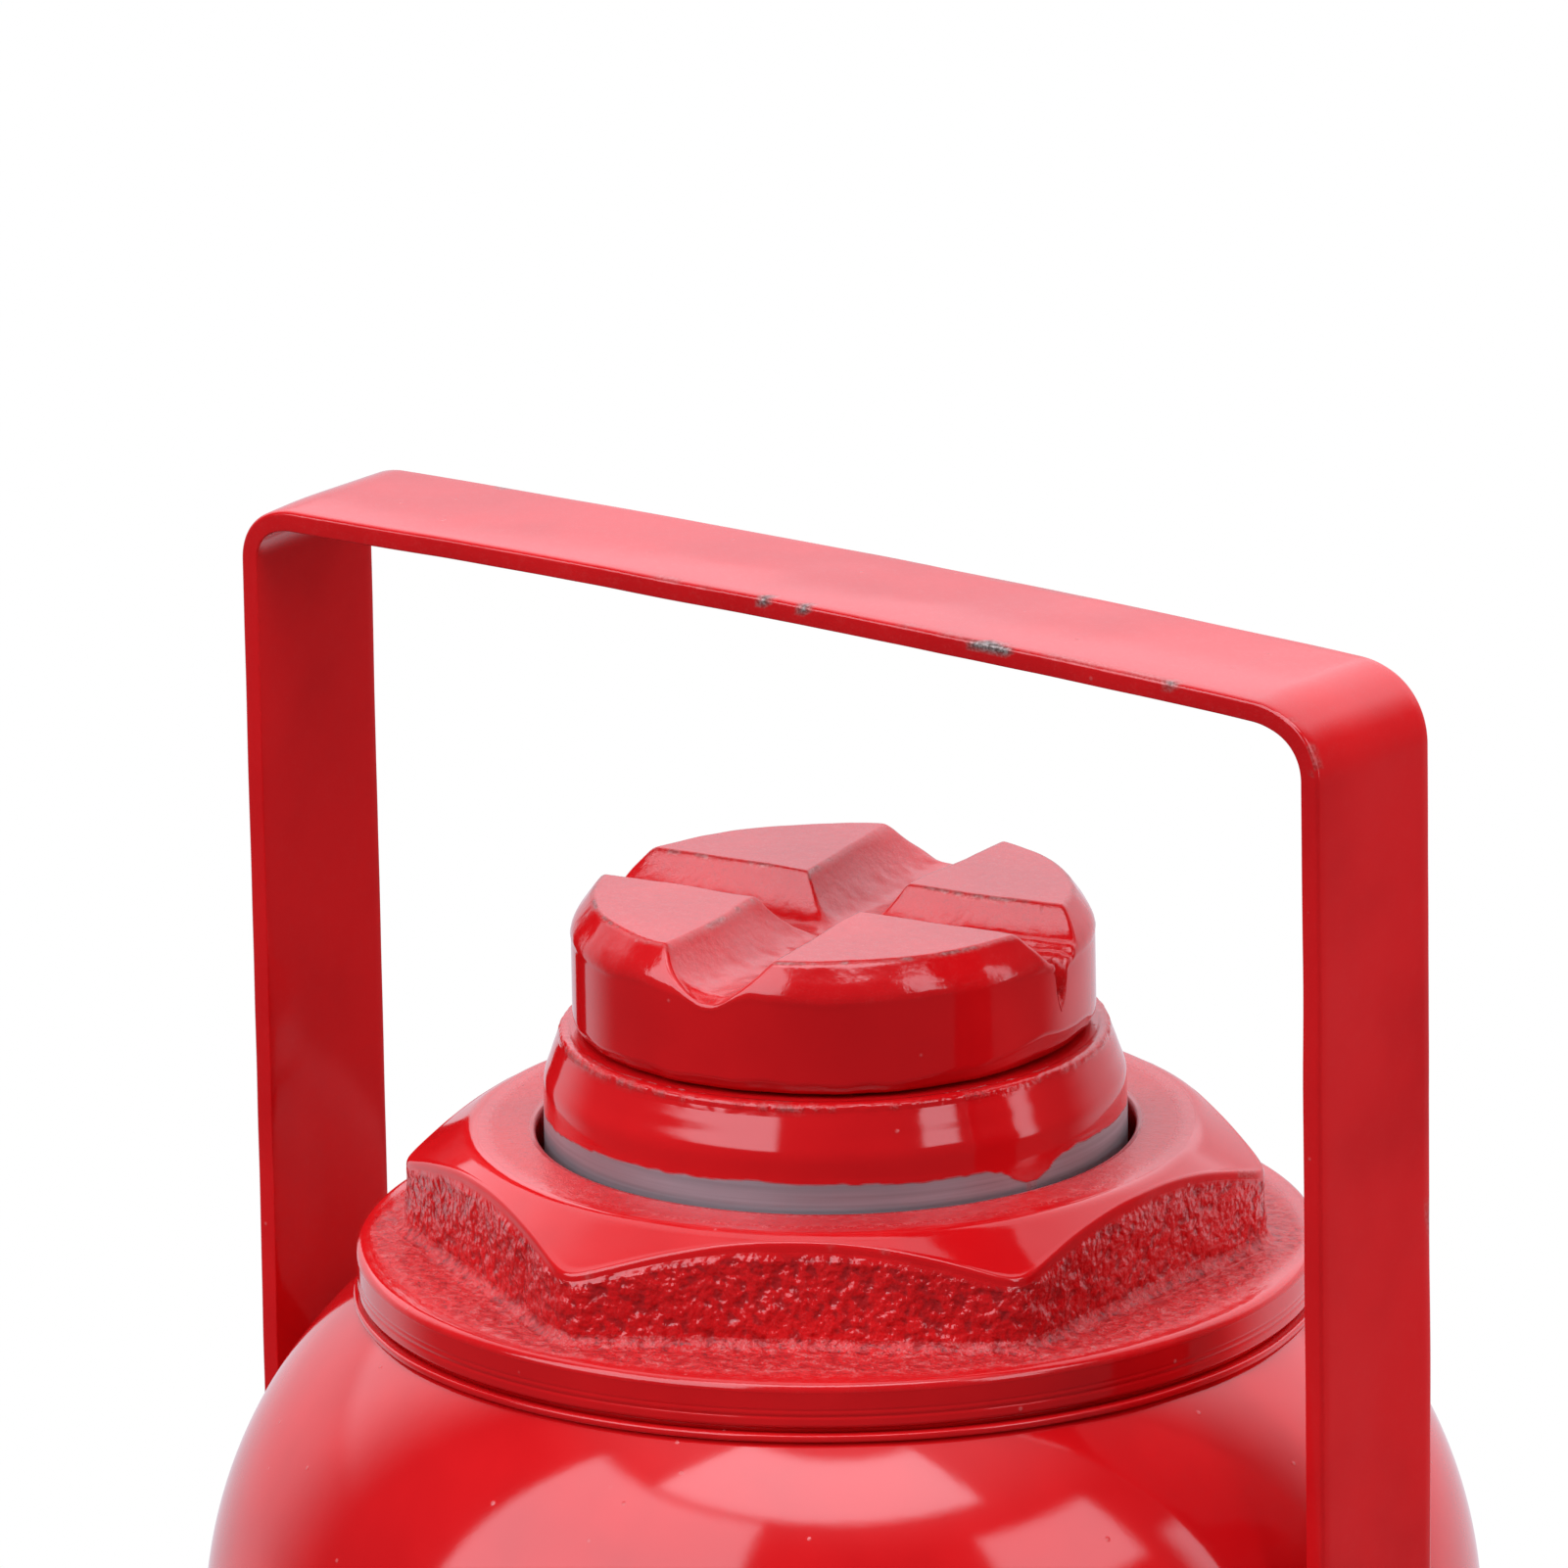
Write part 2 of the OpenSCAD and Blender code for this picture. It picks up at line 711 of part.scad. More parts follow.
module handle_socket() {
  color(enamel) translate([0, -pump_y, pin_z]) difference() {
    union() {
      for (side = [-1, 1]) {
        near = side * cheek_in;
        far = side * (cheek_in + cheek_t);
        yz_plate(min(near, far), max(near, far)) cheek_outline();
      }
      rotate([-socket_slope, 0, 0]) {
        y_rod(-socket_reach, -socket_start, socket_r);
        y_rod(-socket_reach, -socket_reach + 6, socket_r + 2);
      }
    }
    rotate([-socket_slope, 0, 0]) {
      y_rod(-out, -socket_floor, bar_bore / 2);
    }
    x_rod(-out, out, pin_r + fit);
    translate([0, link_dy, link_dz]) x_rod(-out, out, pin_r);
  }
}

module link_pin() {
  color(zinc) translate([0, link_y, link_z]) lever_pin(21.6, link_out + gap, 1.2);
}

module link_pin_clips() {
  color(spring_steel) translate([0, link_y, link_z]) clip_pair(link_out + gap, 1.2);
}

module link_plates() {
  color(enamel) for (x = [-link_out, link_in]) difference() {
    yz_plate(x, x + link_t) round_bar([link_y, lug_z], [link_y, link_z], 9);
    translate([0, link_y, link_z]) x_rod(-out, out, pin_r + fit);
    translate([0, link_y, lug_z]) x_rod(-out, out, pin_r + open_clearance);
  }
}

module base_pin() {
  color(zinc) translate([0, lug_y, lug_z]) lever_pin(23, link_out + gap + 1.5, 1.2);
}

module base_pin_washers() {
  color(zinc) translate([0, lug_y, lug_z]) for (side = [0, 180]) rotate([0, 0, side]) difference() {
    x_rod(link_out + gap, link_out + gap + 1.5, 9.5);
    x_rod(link_out, link_out + 3, pin_r);
  }
}

module base_pin_clips() {
  color(spring_steel) translate([0, lug_y, lug_z]) clip_pair(link_out + gap + 1.5, 1.2);
}

// ---- release valve ----

module at_release() {
  translate([release_x, 0, release_z]) children();
}

module release_spindle() {
  tip_y = release_seat_y - 6.5;
  color(zinc) at_release() difference() {
    union() {
      y_rod(-118, tip_y, spindle_r);
      y_rod(-150, -118, 6);
      y_rod(-166, -150, 10);
    }
    translate([0, -97.5, 0]) difference() {
      y_rod(-1.8, 1.8, spindle_r + 1);
      y_rod(-3, 3, spindle_r - 2.6);
    }
    translate([-12, -167, -2.5]) cube([24, 10, 5]);
  }
}

module release_o_ring() {
  color(rubber) at_release() translate([0, -97.5, 0]) rotate([90, 0, 0])
    o_ring(0, spindle_r - 1.28, 1.28);
}

module release_ball() {
  color(bare_steel) at_release()
    translate([0, release_seat_y - sqrt(pow(release_ball_r, 2) - pow(release_seat_r, 2)) - 0.05, 0])
      sphere(r = release_ball_r);
}

module release_gland_nut() {
  color(zinc) at_release() difference() {
    union() {
      y_rod(-base_front - 0.2, -124.2, 11);
      translate([0, -base_front - 0.2, 0]) rotate([90, 0, 0]) cylinder(h = 7, r = 13, $fn = 6);
    }
    y_rod(-out, 0, 6 + fit);
  }
}

// ---- filler plug ----

module at_filler() {
  translate([0, 0, filler_z]) rotate(filler_angle) children();
}

module filler_plug() {
  color(rubber) at_filler() {
    x_rod(shell_r - shell_t - 5, shell_r + 1.5, 7.5);
    x_rod(shell_r + 1.4, shell_r + 6, 11);
    x_rod(shell_r + 5.9, shell_r + 8, 6);
  }
}

module filler_washer() {
  color(zinc) at_filler() difference() {
    x_rod(shell_r + 0.1, shell_r + 1.2, 11);
    x_rod(shell_r - 1, shell_r + 3, 7.6);
  }
}

// ---- valves in the base ----

module suction_ball() {
  rest = sqrt(pow(ball_r, 2) - pow(3.5, 2)) + 0.05;
  color(bare_steel) translate([0, -pump_y, suction_seat_z + rest]) sphere(r = ball_r);
}

module suction_strainer() {
  color(brass) translate([inlet_xy[0], inlet_xy[1], reservoir_floor_z]) difference() {
    union() {
      cylinder(h = 8, r = 6.5);
      translate([0, 0, -5]) cylinder(h = 6, r = 3);
    }
    translate([0, 0, -6]) cylinder(h = 12, r = 2);
    for (a = [0:60:300]) rotate(a) translate([0, 0, 4.5]) x_rod(0, 10, 1.2);
  }
}

module discharge_ball() {
  drop = sqrt(pow(ball_r, 2) - pow(3.5, 2)) + 0.05;
  color(bare_steel) translate([discharge_xy[0], discharge_xy[1], discharge_seat_z - drop])
    sphere(r = ball_r);
}

module discharge_spring() {
  top = discharge_seat_z - sqrt(pow(ball_r, 2) - pow(3.5, 2)) - 4.1;
  color(spring_steel) translate([discharge_xy[0], discharge_xy[1], 2.7])
    coil_spring(top - 2.7, 3.4, 0.5, 3);
}

module discharge_plug() {
  color(zinc) translate([discharge_xy[0], discharge_xy[1], 0.4]) difference() {
    cylinder(h = 2.2, r = 7);
    translate([0, 0, -1]) cylinder(h = 2, r = 3, $fn = 6);
  }
}

module relief_ball() {
  color(bare_steel) translate([relief_seat_x - relief_ball_r - 0.05, -pump_y, relief_z])
    sphere(r = relief_ball_r);
}

module relief_spring() {
  start = relief_seat_x - 2 * relief_ball_r - 0.1;
  color(spring_steel) translate([start, -pump_y, relief_z]) rotate([0, -90, 0])
    coil_spring(16, 3.2, 0.6, 5);
}

module relief_screw() {
  inner = relief_seat_x - 2 * relief_ball_r - 16.3;
  color(zinc) translate([0, -pump_y, relief_z]) difference() {
    x_rod(-63.5, inner, 6);
    translate([-64.5, -7, -0.9]) cube([3, 14, 1.8]);
  }
}

module passage_plugs() {
  color(zinc) {
    translate([0, -pump_y, 0.4]) cylinder(h = 3, r = 6);
    translate([inlet_xy[0], inlet_xy[1], 0.4]) cylinder(h = 3, r = 5);
  }
}

base();
reservoir_gasket();
cylinder_gasket();
hydraulic_cylinder();
reservoir_shell();
top_nut();
nut_seal_ring();
nut_o_ring();
ram_guide_bush();
ram_wiper_seal();
ram();
ram_piston();
piston_seal();
piston_backup_ring();
piston_wear_ring();
piston_nut();
saddle();
saddle_ring();
carry_handle();
pivot_bosses();
pivot_bolts();
pivot_washers();
pivot_spacer();
pump_cylinder();
pump_gasket();
pump_packing();
pump_gland_nut();
pump_plunger();
plunger_seal();
plunger_pin();
plunger_pin_clips();
handle_socket();
link_pin();
link_pin_clips();
link_plates();
base_pin();
base_pin_washers();
base_pin_clips();
release_spindle();
release_o_ring();
release_ball();
release_gland_nut();
filler_plug();
filler_washer();
suction_ball();
suction_strainer();
discharge_ball();
discharge_spring();
discharge_plug();
relief_ball();
relief_spring();
relief_screw();
passage_plugs();
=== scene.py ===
import json
import math

import bmesh
import bpy
import numpy as np
from mathutils import Matrix, Vector


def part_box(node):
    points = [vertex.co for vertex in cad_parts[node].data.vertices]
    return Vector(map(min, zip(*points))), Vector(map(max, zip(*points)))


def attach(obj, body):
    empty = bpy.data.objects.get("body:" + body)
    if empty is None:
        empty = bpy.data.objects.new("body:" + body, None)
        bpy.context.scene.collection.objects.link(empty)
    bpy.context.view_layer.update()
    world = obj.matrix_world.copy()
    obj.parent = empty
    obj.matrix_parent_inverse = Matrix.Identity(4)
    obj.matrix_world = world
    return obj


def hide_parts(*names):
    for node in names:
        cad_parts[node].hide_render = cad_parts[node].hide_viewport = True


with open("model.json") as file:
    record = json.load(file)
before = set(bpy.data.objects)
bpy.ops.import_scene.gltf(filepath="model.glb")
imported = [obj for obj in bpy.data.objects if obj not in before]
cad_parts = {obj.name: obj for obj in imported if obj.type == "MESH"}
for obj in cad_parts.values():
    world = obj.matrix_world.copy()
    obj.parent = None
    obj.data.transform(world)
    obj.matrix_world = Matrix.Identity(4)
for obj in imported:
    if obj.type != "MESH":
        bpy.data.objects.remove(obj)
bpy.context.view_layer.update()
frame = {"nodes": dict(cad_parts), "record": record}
mm = 0.001
record = frame["record"]
bodyOf = {node: body for body, nodes in record["behaviour"]["bodies"].items() for node in nodes}
slotOf = {part["node"]: part["material_slot"] for part in record["subparts"]}
finishes = {}
print("frame loaded:", len(frame["nodes"]), "nodes")

# camera: where it stands, seen from the jack's axis at the top nut
view = {
    "turn": 38.443,
    "rise": 16.32,
    "roll": -0.94,
    "distance": 1.8077,
    "aimAbove": 0.042147,
    "aimAside": -0.005551,
    "lens": 348.37,
}
turn, rise, roll = (math.radians(view[key]) for key in ("turn", "rise", "roll"))
backward = Vector((math.sin(turn) * math.cos(rise), -math.cos(turn) * math.cos(rise), math.sin(rise)))
rightHand = Vector((math.cos(turn), math.sin(turn), 0))
upward = backward.cross(rightHand)
towardCamera = Vector((math.sin(turn), -math.cos(turn), 0))
facing = math.atan2(towardCamera.y, towardCamera.x)  # heading of the side that faces the camera


class Wire:
    # one output socket, with arithmetic that adds Math nodes
    def __init__(self, sheet, socket):
        self.sheet = sheet
        self.socket = socket

    def port(self, name):
        return Wire(self.sheet, self.socket.node.outputs[name])

    def join(self, operation, first, second):
        return self.sheet.add("ShaderNodeMath", {"operation": operation}, [first, second])

    def __add__(self, other):
        return self.join("ADD", self, other)

    def __radd__(self, other):
        return self.join("ADD", other, self)

    def __sub__(self, other):
        return self.join("SUBTRACT", self, other)

    def __rsub__(self, other):
        return self.join("SUBTRACT", other, self)

    def __mul__(self, other):
        return self.join("MULTIPLY", self, other)

    def __rmul__(self, other):
        return self.join("MULTIPLY", other, self)


class Sheet:
    # a node tree that is being filled
    def __init__(self, tree):
        self.tree = tree
        tree.nodes.clear()

    def add(self, kind, settings=None, values=(), out=0):
        node = self.tree.nodes.new(kind)
        for key, value in (settings or {}).items():
            setattr(node, key, value)
        pairs = values.items() if isinstance(values, dict) else enumerate(values)
        for key, value in pairs:
            if isinstance(value, Wire):
                self.tree.links.new(value.socket, node.inputs[key])
            else:
                node.inputs[key].default_value = value
        return Wire(self, node.outputs[out]) if node.outputs else node

    def blend(self, amount, first, second):
        first = first if isinstance(first, Wire) else (*first, 1)
        second = second if isinstance(second, Wire) else (*second, 1)
        return self.add("ShaderNodeMix", {"data_type": "RGBA"}, {0: amount, 6: first, 7: second}, out=2)

    def ease(self, value, low, high):
        return self.add("ShaderNodeMapRange", {"interpolation_type": "SMOOTHSTEP"},
                        {"Value": value, "From Min": low, "From Max": high, "To Min": 0.0, "To Max": 1.0})

    def cloud(self, place, scale, detail=2.0, roughness=0.5):
        return self.add("ShaderNodeTexNoise", None,
                        {"Vector": place, "Scale": scale, "Detail": detail, "Roughness": roughness})

    def stretched(self, place, x, y, z):
        return self.add("ShaderNodeVectorMath", {"operation": "MULTIPLY"}, [place, (x, y, z)])

    def painted(self, name):
        return self.add("ShaderNodeAttribute", {"attribute_name": name}, out="Fac")


def newFinish(name):
    material = bpy.data.materials.new(name)
    material.use_nodes = True
    finishes[name] = material
    return Sheet(material.node_tree)


def closeFinish(sheet, **sockets):
    names = {"colour": "Base Color", "roughness": "Roughness", "metallic": "Metallic", "normal": "Normal",
             "ior": "IOR"}
    values = {names[key]: value for key, value in sockets.items()}
    shader = sheet.add("ShaderNodeBsdfPrincipled", None, values)
    sheet.add("ShaderNodeOutputMaterial", None, {"Surface": shader})


def bumped(sheet, height):
    values = {"Strength": 1.0, "Distance": 1.0, "Height": height}
    return sheet.add("ShaderNodeBump", None, values, out="Normal")


enamelLook = {
    "deep": (0.55, 0.0045, 0.0065),
    "bright": (0.66, 0.0075, 0.0095),
    "grimeAndShade": (0.17, 0.012, 0.014),   # dark dirt in the paint's pits where dust lies, and painted shade in the hollows of the cast lumps
    "grey": (0.115, 0.075, 0.066),    # primer and steel where an edge is rubbed
    "dust": (0.62, 0.20, 0.19),
    "rubbed": (0.36, 0.31, 0.29),
    "steel": ((0.24, 0.27, 0.29), (0.50, 0.54, 0.57)),
    "gloss": 0.055,
    "peelHeight": 5e-6,               # metres
    "castHeight": 8.5e-4,
    "pitHeight": 0.9e-4,
    "gritHeight": 1.3e-4,
}


def enamelFinish(name, look, peel=1.0, steel=False):
    sheet = newFinish(name)
    place = sheet.add("ShaderNodeTexCoord", out="Object")
    wear, cast, dust = (sheet.painted(key) for key in ("wear", "cast", "dust"))
    broad = sheet.cloud(place, 34, 3)
    fine = sheet.cloud(place, 620, 2)
    cobbles = sheet.cloud(place, 720, 1.5, 0.5)
    pits = sheet.cloud(place, 2100, 3, 0.6)
    grain = sheet.cloud(place, 3600, 2, 0.7)
    cells = sheet.add("ShaderNodeTexVoronoi", None, {"Vector": place, "Scale": 420.0})
    pick = sheet.add("ShaderNodeSeparateColor", None, {0: cells.port("Color")})
    motes = (1 - sheet.ease(cells, 0.05, 0.16)) * sheet.ease(pick, 0.93, 0.94)
    sand = sheet.ease(grain * 0.6 + cobbles * 0.4, 0.50, 0.64) * dust
    # painted shade: the low spots of the cast bumps are darkened, together with real dark grit in the pits
    # where dust lies
    hollow = 1 - sheet.ease(cobbles, 0.34, 0.50)
    grimeAndHollowShade = sheet.ease(pits, 0.54, 0.66) * (dust * 0.7) + hollow * cast * 0.5
    colour = sheet.blend(sheet.ease(broad, 0.35, 0.65), look["deep"], look["bright"])
    colour = sheet.blend(grimeAndHollowShade, colour, look["grimeAndShade"])
    colour = sheet.blend(sand * 0.6, colour, look["dust"])
    colour = sheet.blend(motes * 0.35, colour, look["dust"])
    rubbed = sheet.blend(sheet.ease(pits, 0.40, 0.62), look["grey"], look["rubbed"])
    colour = sheet.blend(wear, colour, rubbed)
    roughness = broad * 0.05 + look["gloss"] + dust * 0.34 + sand * 0.2 + wear * 0.32 + motes * 0.3
    metallic = wear * 0.55
    height = fine * (look["peelHeight"] * peel) + motes * 3e-5 - wear * 4e-5
    height = height + cast * (cobbles * look["castHeight"] + pits * look["pitHeight"])
    height = height + dust * (grain * look["gritHeight"])
    if steel:
        bare = sheet.painted("bare")
        brush = sheet.cloud(sheet.stretched(place, 30, 30, 2400), 1.0, 3)
        metal = sheet.blend(brush, *look["steel"])
        colour = sheet.blend(bare, colour, metal)
        metallic = metallic + bare * 0.6
        roughness = roughness * (1 - bare) + bare * (brush * 0.16 + 0.27)
        height = height - bare * 6e-5
    normal = bumped(sheet, height)
    closeFinish(sheet, colour=colour, roughness=roughness, metallic=metallic, normal=normal, ior=1.52)


metalLook = {
    "dark_steel": {"dark": (0.14, 0.14, 0.145), "light": (0.30, 0.30, 0.305),
                   "rough": 0.22, "lay": (40, 40, 1600)},
    "bare_steel": {"dark": (0.36, 0.36, 0.37), "light": (0.56, 0.56, 0.57),
                   "rough": 0.24, "lay": (60, 60, 1400)},
    "zinc_plate": {"dark": (0.46, 0.46, 0.44), "light": (0.70, 0.70, 0.67),
                   "rough": 0.27, "lay": (260, 260, 260)},
    "spring_steel": {"dark": (0.12, 0.12, 0.14), "light": (0.27, 0.27, 0.30),
                     "rough": 0.3, "lay": (300, 300, 300)},
    "bronze": {"dark": (0.38, 0.20, 0.08), "light": (0.60, 0.36, 0.16),
               "rough": 0.3, "lay": (200, 200, 900)},
    "brass": {"dark": (0.55, 0.38, 0.12), "light": (0.78, 0.58, 0.24),
              "rough": 0.26, "lay": (300, 300, 300)},
}


def metalFinish(name, look):
    sheet = newFinish(name)
    place = sheet.add("ShaderNodeTexCoord", out="Object")
    marks = sheet.cloud(sheet.stretched(place, *look["lay"]), 1.0, 4, 0.6)
    stain = sheet.cloud(place, 90, 4, 0.6)
    colour = sheet.blend(marks * 0.7 + stain * 0.3, look["dark"], look["light"])
    colour = sheet.blend(sheet.ease(stain, 0.60, 0.78) * 0.5, colour, (0.10, 0.08, 0.06))
    roughness = marks * 0.12 + stain * 0.16 + (look["rough"] - 0.1)
    height = marks * 1.2e-5 + stain * 1e-5
    normal = bumped(sheet, height)
    closeFinish(sheet, colour=colour, roughness=roughness, metallic=0.96, normal=normal)


softLook = {
    "rubber": {"dark": (0.012, 0.012, 0.012), "light": (0.032, 0.031, 0.030),
               "rough": 0.5, "grain": 1500},
    "ptfe": {"dark": (0.70, 0.69, 0.66), "light": (0.80, 0.79, 0.77),
             "rough": 0.42, "grain": 900},
}


def mouldedFinish(name, look):
    sheet = newFinish(name)
    place = sheet.add("ShaderNodeTexCoord", out="Object")
    grain = sheet.cloud(place, look["grain"], 3)
    broad = sheet.cloud(place, 120, 3)
    colour = sheet.blend(broad, look["dark"], look["light"])
    roughness = grain * 0.2 + broad * 0.1 + (look["rough"] - 0.15)
    normal = bumped(sheet, grain * 2.5e-5)
    closeFinish(sheet, colour=colour, roughness=roughness, normal=normal)


enamelFinish("red_enamel", enamelLook)
enamelFinish("cast_enamel", enamelLook, peel=2.0)
enamelFinish("ram_enamel", enamelLook, steel=True)
for name, look in metalLook.items():
    metalFinish(name, look)
for name, look in softLook.items():
    mouldedFinish(name, look)
print("finishes:", len(finishes))


def lumps(points, size, seed):
    # smooth random swellings, from -1 to 1, size metres across
    table = np.random.default_rng(seed).uniform(-1, 1, (32, 32, 32))
    spot = np.asarray(points) / size + 500.0
    low = np.floor(spot).astype(int)
    part = spot - low
    part = part * part * (3 - 2 * part)
    total = np.zeros(spot.shape[:-1])
    for dx in (0, 1):
        for dy in (0, 1):
            for dz in (0, 1):
                share = 1.0
                for axis, upper in enumerate((dx, dy, dz)):
                    share = share * (part[..., axis] if upper else 1 - part[..., axis])
                cell = (low + [dx, dy, dz]) % 32
                total += share * table[cell[..., 0], cell[..., 1], cell[..., 2]]
    return total


def step(value, low, high):
    part = np.clip((value - low) / (high - low), 0, 1)
    return part * part * (3 - 2 * part)


def softLower(a, b, blend):
    # the lower of two heights, with a rounded meeting
    share = np.clip(0.5 + 0.5 * (b - a) / blend, 0, 1)
    return b * (1 - share) + a * share - blend * share * (1 - share)


def paintMarks(mesh, marks):
    for key, values in marks.items():
        layer = mesh.attributes.new(key, "FLOAT", "POINT")
        layer.data.foreach_set("value", np.asarray(values, dtype=np.float32).ravel())


def newPiece(name, verts, faces, finish, marks=None):
    mesh = bpy.data.meshes.new(name)
    mesh.from_pydata([tuple(v) for v in verts], [], [tuple(f) for f in faces])
    paintMarks(mesh, marks or {})
    mesh.polygons.foreach_set("use_smooth", [True] * len(mesh.polygons))
    mesh.materials.append(finishes[finish])
    mesh.validate()
    mesh.update()
    piece = bpy.data.objects.new(name, mesh)
    bpy.context.scene.collection.objects.link(piece)
    return piece


def settle(piece, node):
    # hangs a finished piece on its body, in place of its CAD node
    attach(piece, bodyOf[node])
    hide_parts(node)
    print("piece:", piece.name, len(piece.data.vertices), "vertices")


def gridFaces(rows, columns, closed=False):
    # quads between the rows, each of which is a closed loop; closed joins the last row to the first
    i = np.arange(rows if closed else rows - 1)
    i, j = np.meshgrid(i, np.arange(columns), indexing="ij")
    up, along = (i + 1) % rows, (j + 1) % columns
    quads = np.stack([i * columns + j, i * columns + along, up * columns + along, up * columns + j], -1)
    return quads.reshape(-1, 4).tolist()


def easedOutline(corners, steps=4, closed=True):
    # rounds each corner (r, z, radius) of an outline, in millimetres
    count = len(corners)
    points = []
    for i, (x, z, radius) in enumerate(corners):
        here = np.array([x, z], float)
        if radius <= 0 or (not closed and i in (0, count - 1)):
            points.append(here)
            continue
        before = np.array(corners[i - 1][:2], float) - here
        after = np.array(corners[(i + 1) % count][:2], float) - here
        reach = min(radius, 0.45 * np.linalg.norm(before), 0.45 * np.linalg.norm(after))
        start = here + before / np.linalg.norm(before) * reach
        end = here + after / np.linalg.norm(after) * reach
        for t in np.linspace(0, 1, steps + 1):
            points.append((1 - t) ** 2 * start + 2 * t * (1 - t) * here + t * t * end)
    return np.array(points)


def spun(outline, steps):
    # rows of points round the jack's axis, in metres; the outline is in millimetres
    angles = np.arange(steps) * 2 * math.pi / steps
    r, z = outline[:, 0:1] * mm, outline[:, 1:2] * mm
    return np.stack([r * np.cos(angles), r * np.sin(angles), z + 0 * angles], -1)


def fixNormals(piece):
    bm = bmesh.new()
    bm.from_mesh(piece.data)
    bmesh.ops.recalc_face_normals(bm, faces=bm.faces)
    bm.to_mesh(piece.data)
    bm.free()


def pushOut(points, amount):
    # moves points away from the jack's axis by an amount in millimetres
    outward = np.hypot(points[..., 0], points[..., 1])
    scale = 1 + amount * mm / outward
    points[..., 0] *= scale
    points[..., 1] *= scale


def turnedPiece(name, points, finish, marks=None):
    # a closed section swept round the jack's axis
    faces = gridFaces(points.shape[0], points.shape[1], closed=True)
    piece = newPiece(name, points.reshape(-1, 3), faces, finish, marks)
    fixNormals(piece)
    return piece


def cutWith(piece, cutters):
    for cutter in cutters:
        change = piece.modifiers.new("cut", "BOOLEAN")
        change.operation = "DIFFERENCE"
        change.solver = "EXACT"
        change.object = cutter
    applyAll(piece)
    for cutter in cutters:
        bpy.data.objects.remove(cutter)


def applyAll(piece):
    shown = piece.evaluated_get(bpy.context.evaluated_depsgraph_get())
    mesh = bpy.data.meshes.new_from_object(shown)
    piece.modifiers.clear()
    old = piece.data
    piece.data = mesh
    bpy.data.meshes.remove(old)
    mesh.name = piece.name


def rod(start, end, radius, steps=64):
    # a plain round bar that only serves as a cutter
    start, end = Vector(start), Vector(end)
    mesh = bpy.data.meshes.new("cutter")
    bm = bmesh.new()
    spin = (end - start).to_track_quat("Z", "Y").to_matrix().to_4x4()
    place = Matrix.Translation((start + end) / 2) @ spin
    bmesh.ops.create_cone(bm, cap_ends=True, segments=steps, radius1=radius, radius2=radius,
                          depth=(end - start).length, matrix=place)
    bm.to_mesh(mesh)
    bm.free()
    piece = bpy.data.objects.new("cutter", mesh)
    bpy.context.scene.collection.objects.link(piece)
    return piece


handleCut = {
    "thickness": 2.5,
    "bendLeft": 8.0,
    "bendRight": 9.5,
    "crown": 0.45,       # the near half of the bar falls away to its edge
    "bow": 1.0,          # rise of the bar's middle
    "rolledEdge": 0.55,  # edge that the shear rolled over
    "sharpEdge": 0.22,
    "pivotHeight": 165.0,
    "holeRadius": 5.05,
    "chips": [(-1.3, 0.6), (5.3, 0.9), (32.4, 3.2)],
}


def strapRoute(cut, left, right, top):
    # stations along the strap: x, z, outward x, outward z, share of the full width
    pivot, half = cut["pivotHeight"], cut["endRadius"]
    r1, r2 = cut["bendLeft"], cut["bendRight"]
    roundEnd = [(-half * math.cos(a), max(0.06, math.sin(a))) for a in np.linspace(0, math.pi / 2, 22)]
    spots = [(left, pivot + drop, -1, 0, share) for drop, share in roundEnd]
    spots += [(left, z, -1, 0, 1) for z in np.arange(pivot + 3, top - r1, 3.0)]
    for a in np.linspace(0, math.pi / 2, 26):
        c, d = math.cos(a), math.sin(a)
        spots.append((left + r1 - r1 * c, top - r1 + r1 * d, -c, d, 1))
    spots += [(x, top, 0, 1, 1) for x in np.linspace(left + r1 + 1.2, right - r2 - 1.2, 96)]
    for a in np.linspace(math.pi / 2, 0, 34):
        c, d = math.cos(a), math.sin(a)
        spots.append((right - r2 + r2 * c, top - r2 + r2 * d, c, d, 1))
    spots += [(right, z, 1, 0, 1) for z in np.arange(top - r2 - 1, pivot + 2, -3.0)]
    spots += [(right, pivot + drop, 1, 0, share) for drop, share in reversed(roundEnd)]
    return np.array(spots)


def strapSection(cut, half):
    # the strap's cross-section: across, depth, nearness to an edge
    thick, rolled, sharp = cut["thickness"], cut["rolledEdge"], cut["sharpEdge"]
    corners = (  # side, edge radius, first angle, where the next corner starts
        (1, rolled, 0, (rolled - half, 0.0)),
        (-1, rolled, 90, (-half, sharp - thick)),
        (-1, sharp, 180, (half - sharp, -thick)),
        (1, sharp, 270, (half, -rolled)),
    )
    section = []
    for side, radius, start, following in corners:
        cx = side * (half - radius)
        cz = -radius if start < 180 else radius - thick
        for a in np.radians(np.linspace(start, start + 90, 7)):
            section.append((cx + radius * math.cos(a), cz + radius * math.sin(a), 1.0))
        last = section[-1]
        span = math.hypot(following[0] - last[0], following[1] - last[1])
        parts = max(2, round(span / 1.1))
        for k in range(1, parts):
            share = k / parts
            edge = max(0.0, 1 - min(share, 1 - share) * span / 0.9)
            section.append((last[0] + (following[0] - last[0]) * share,
                            last[1] + (following[1] - last[1]) * share, edge * 0.6))
    return np.array(section)


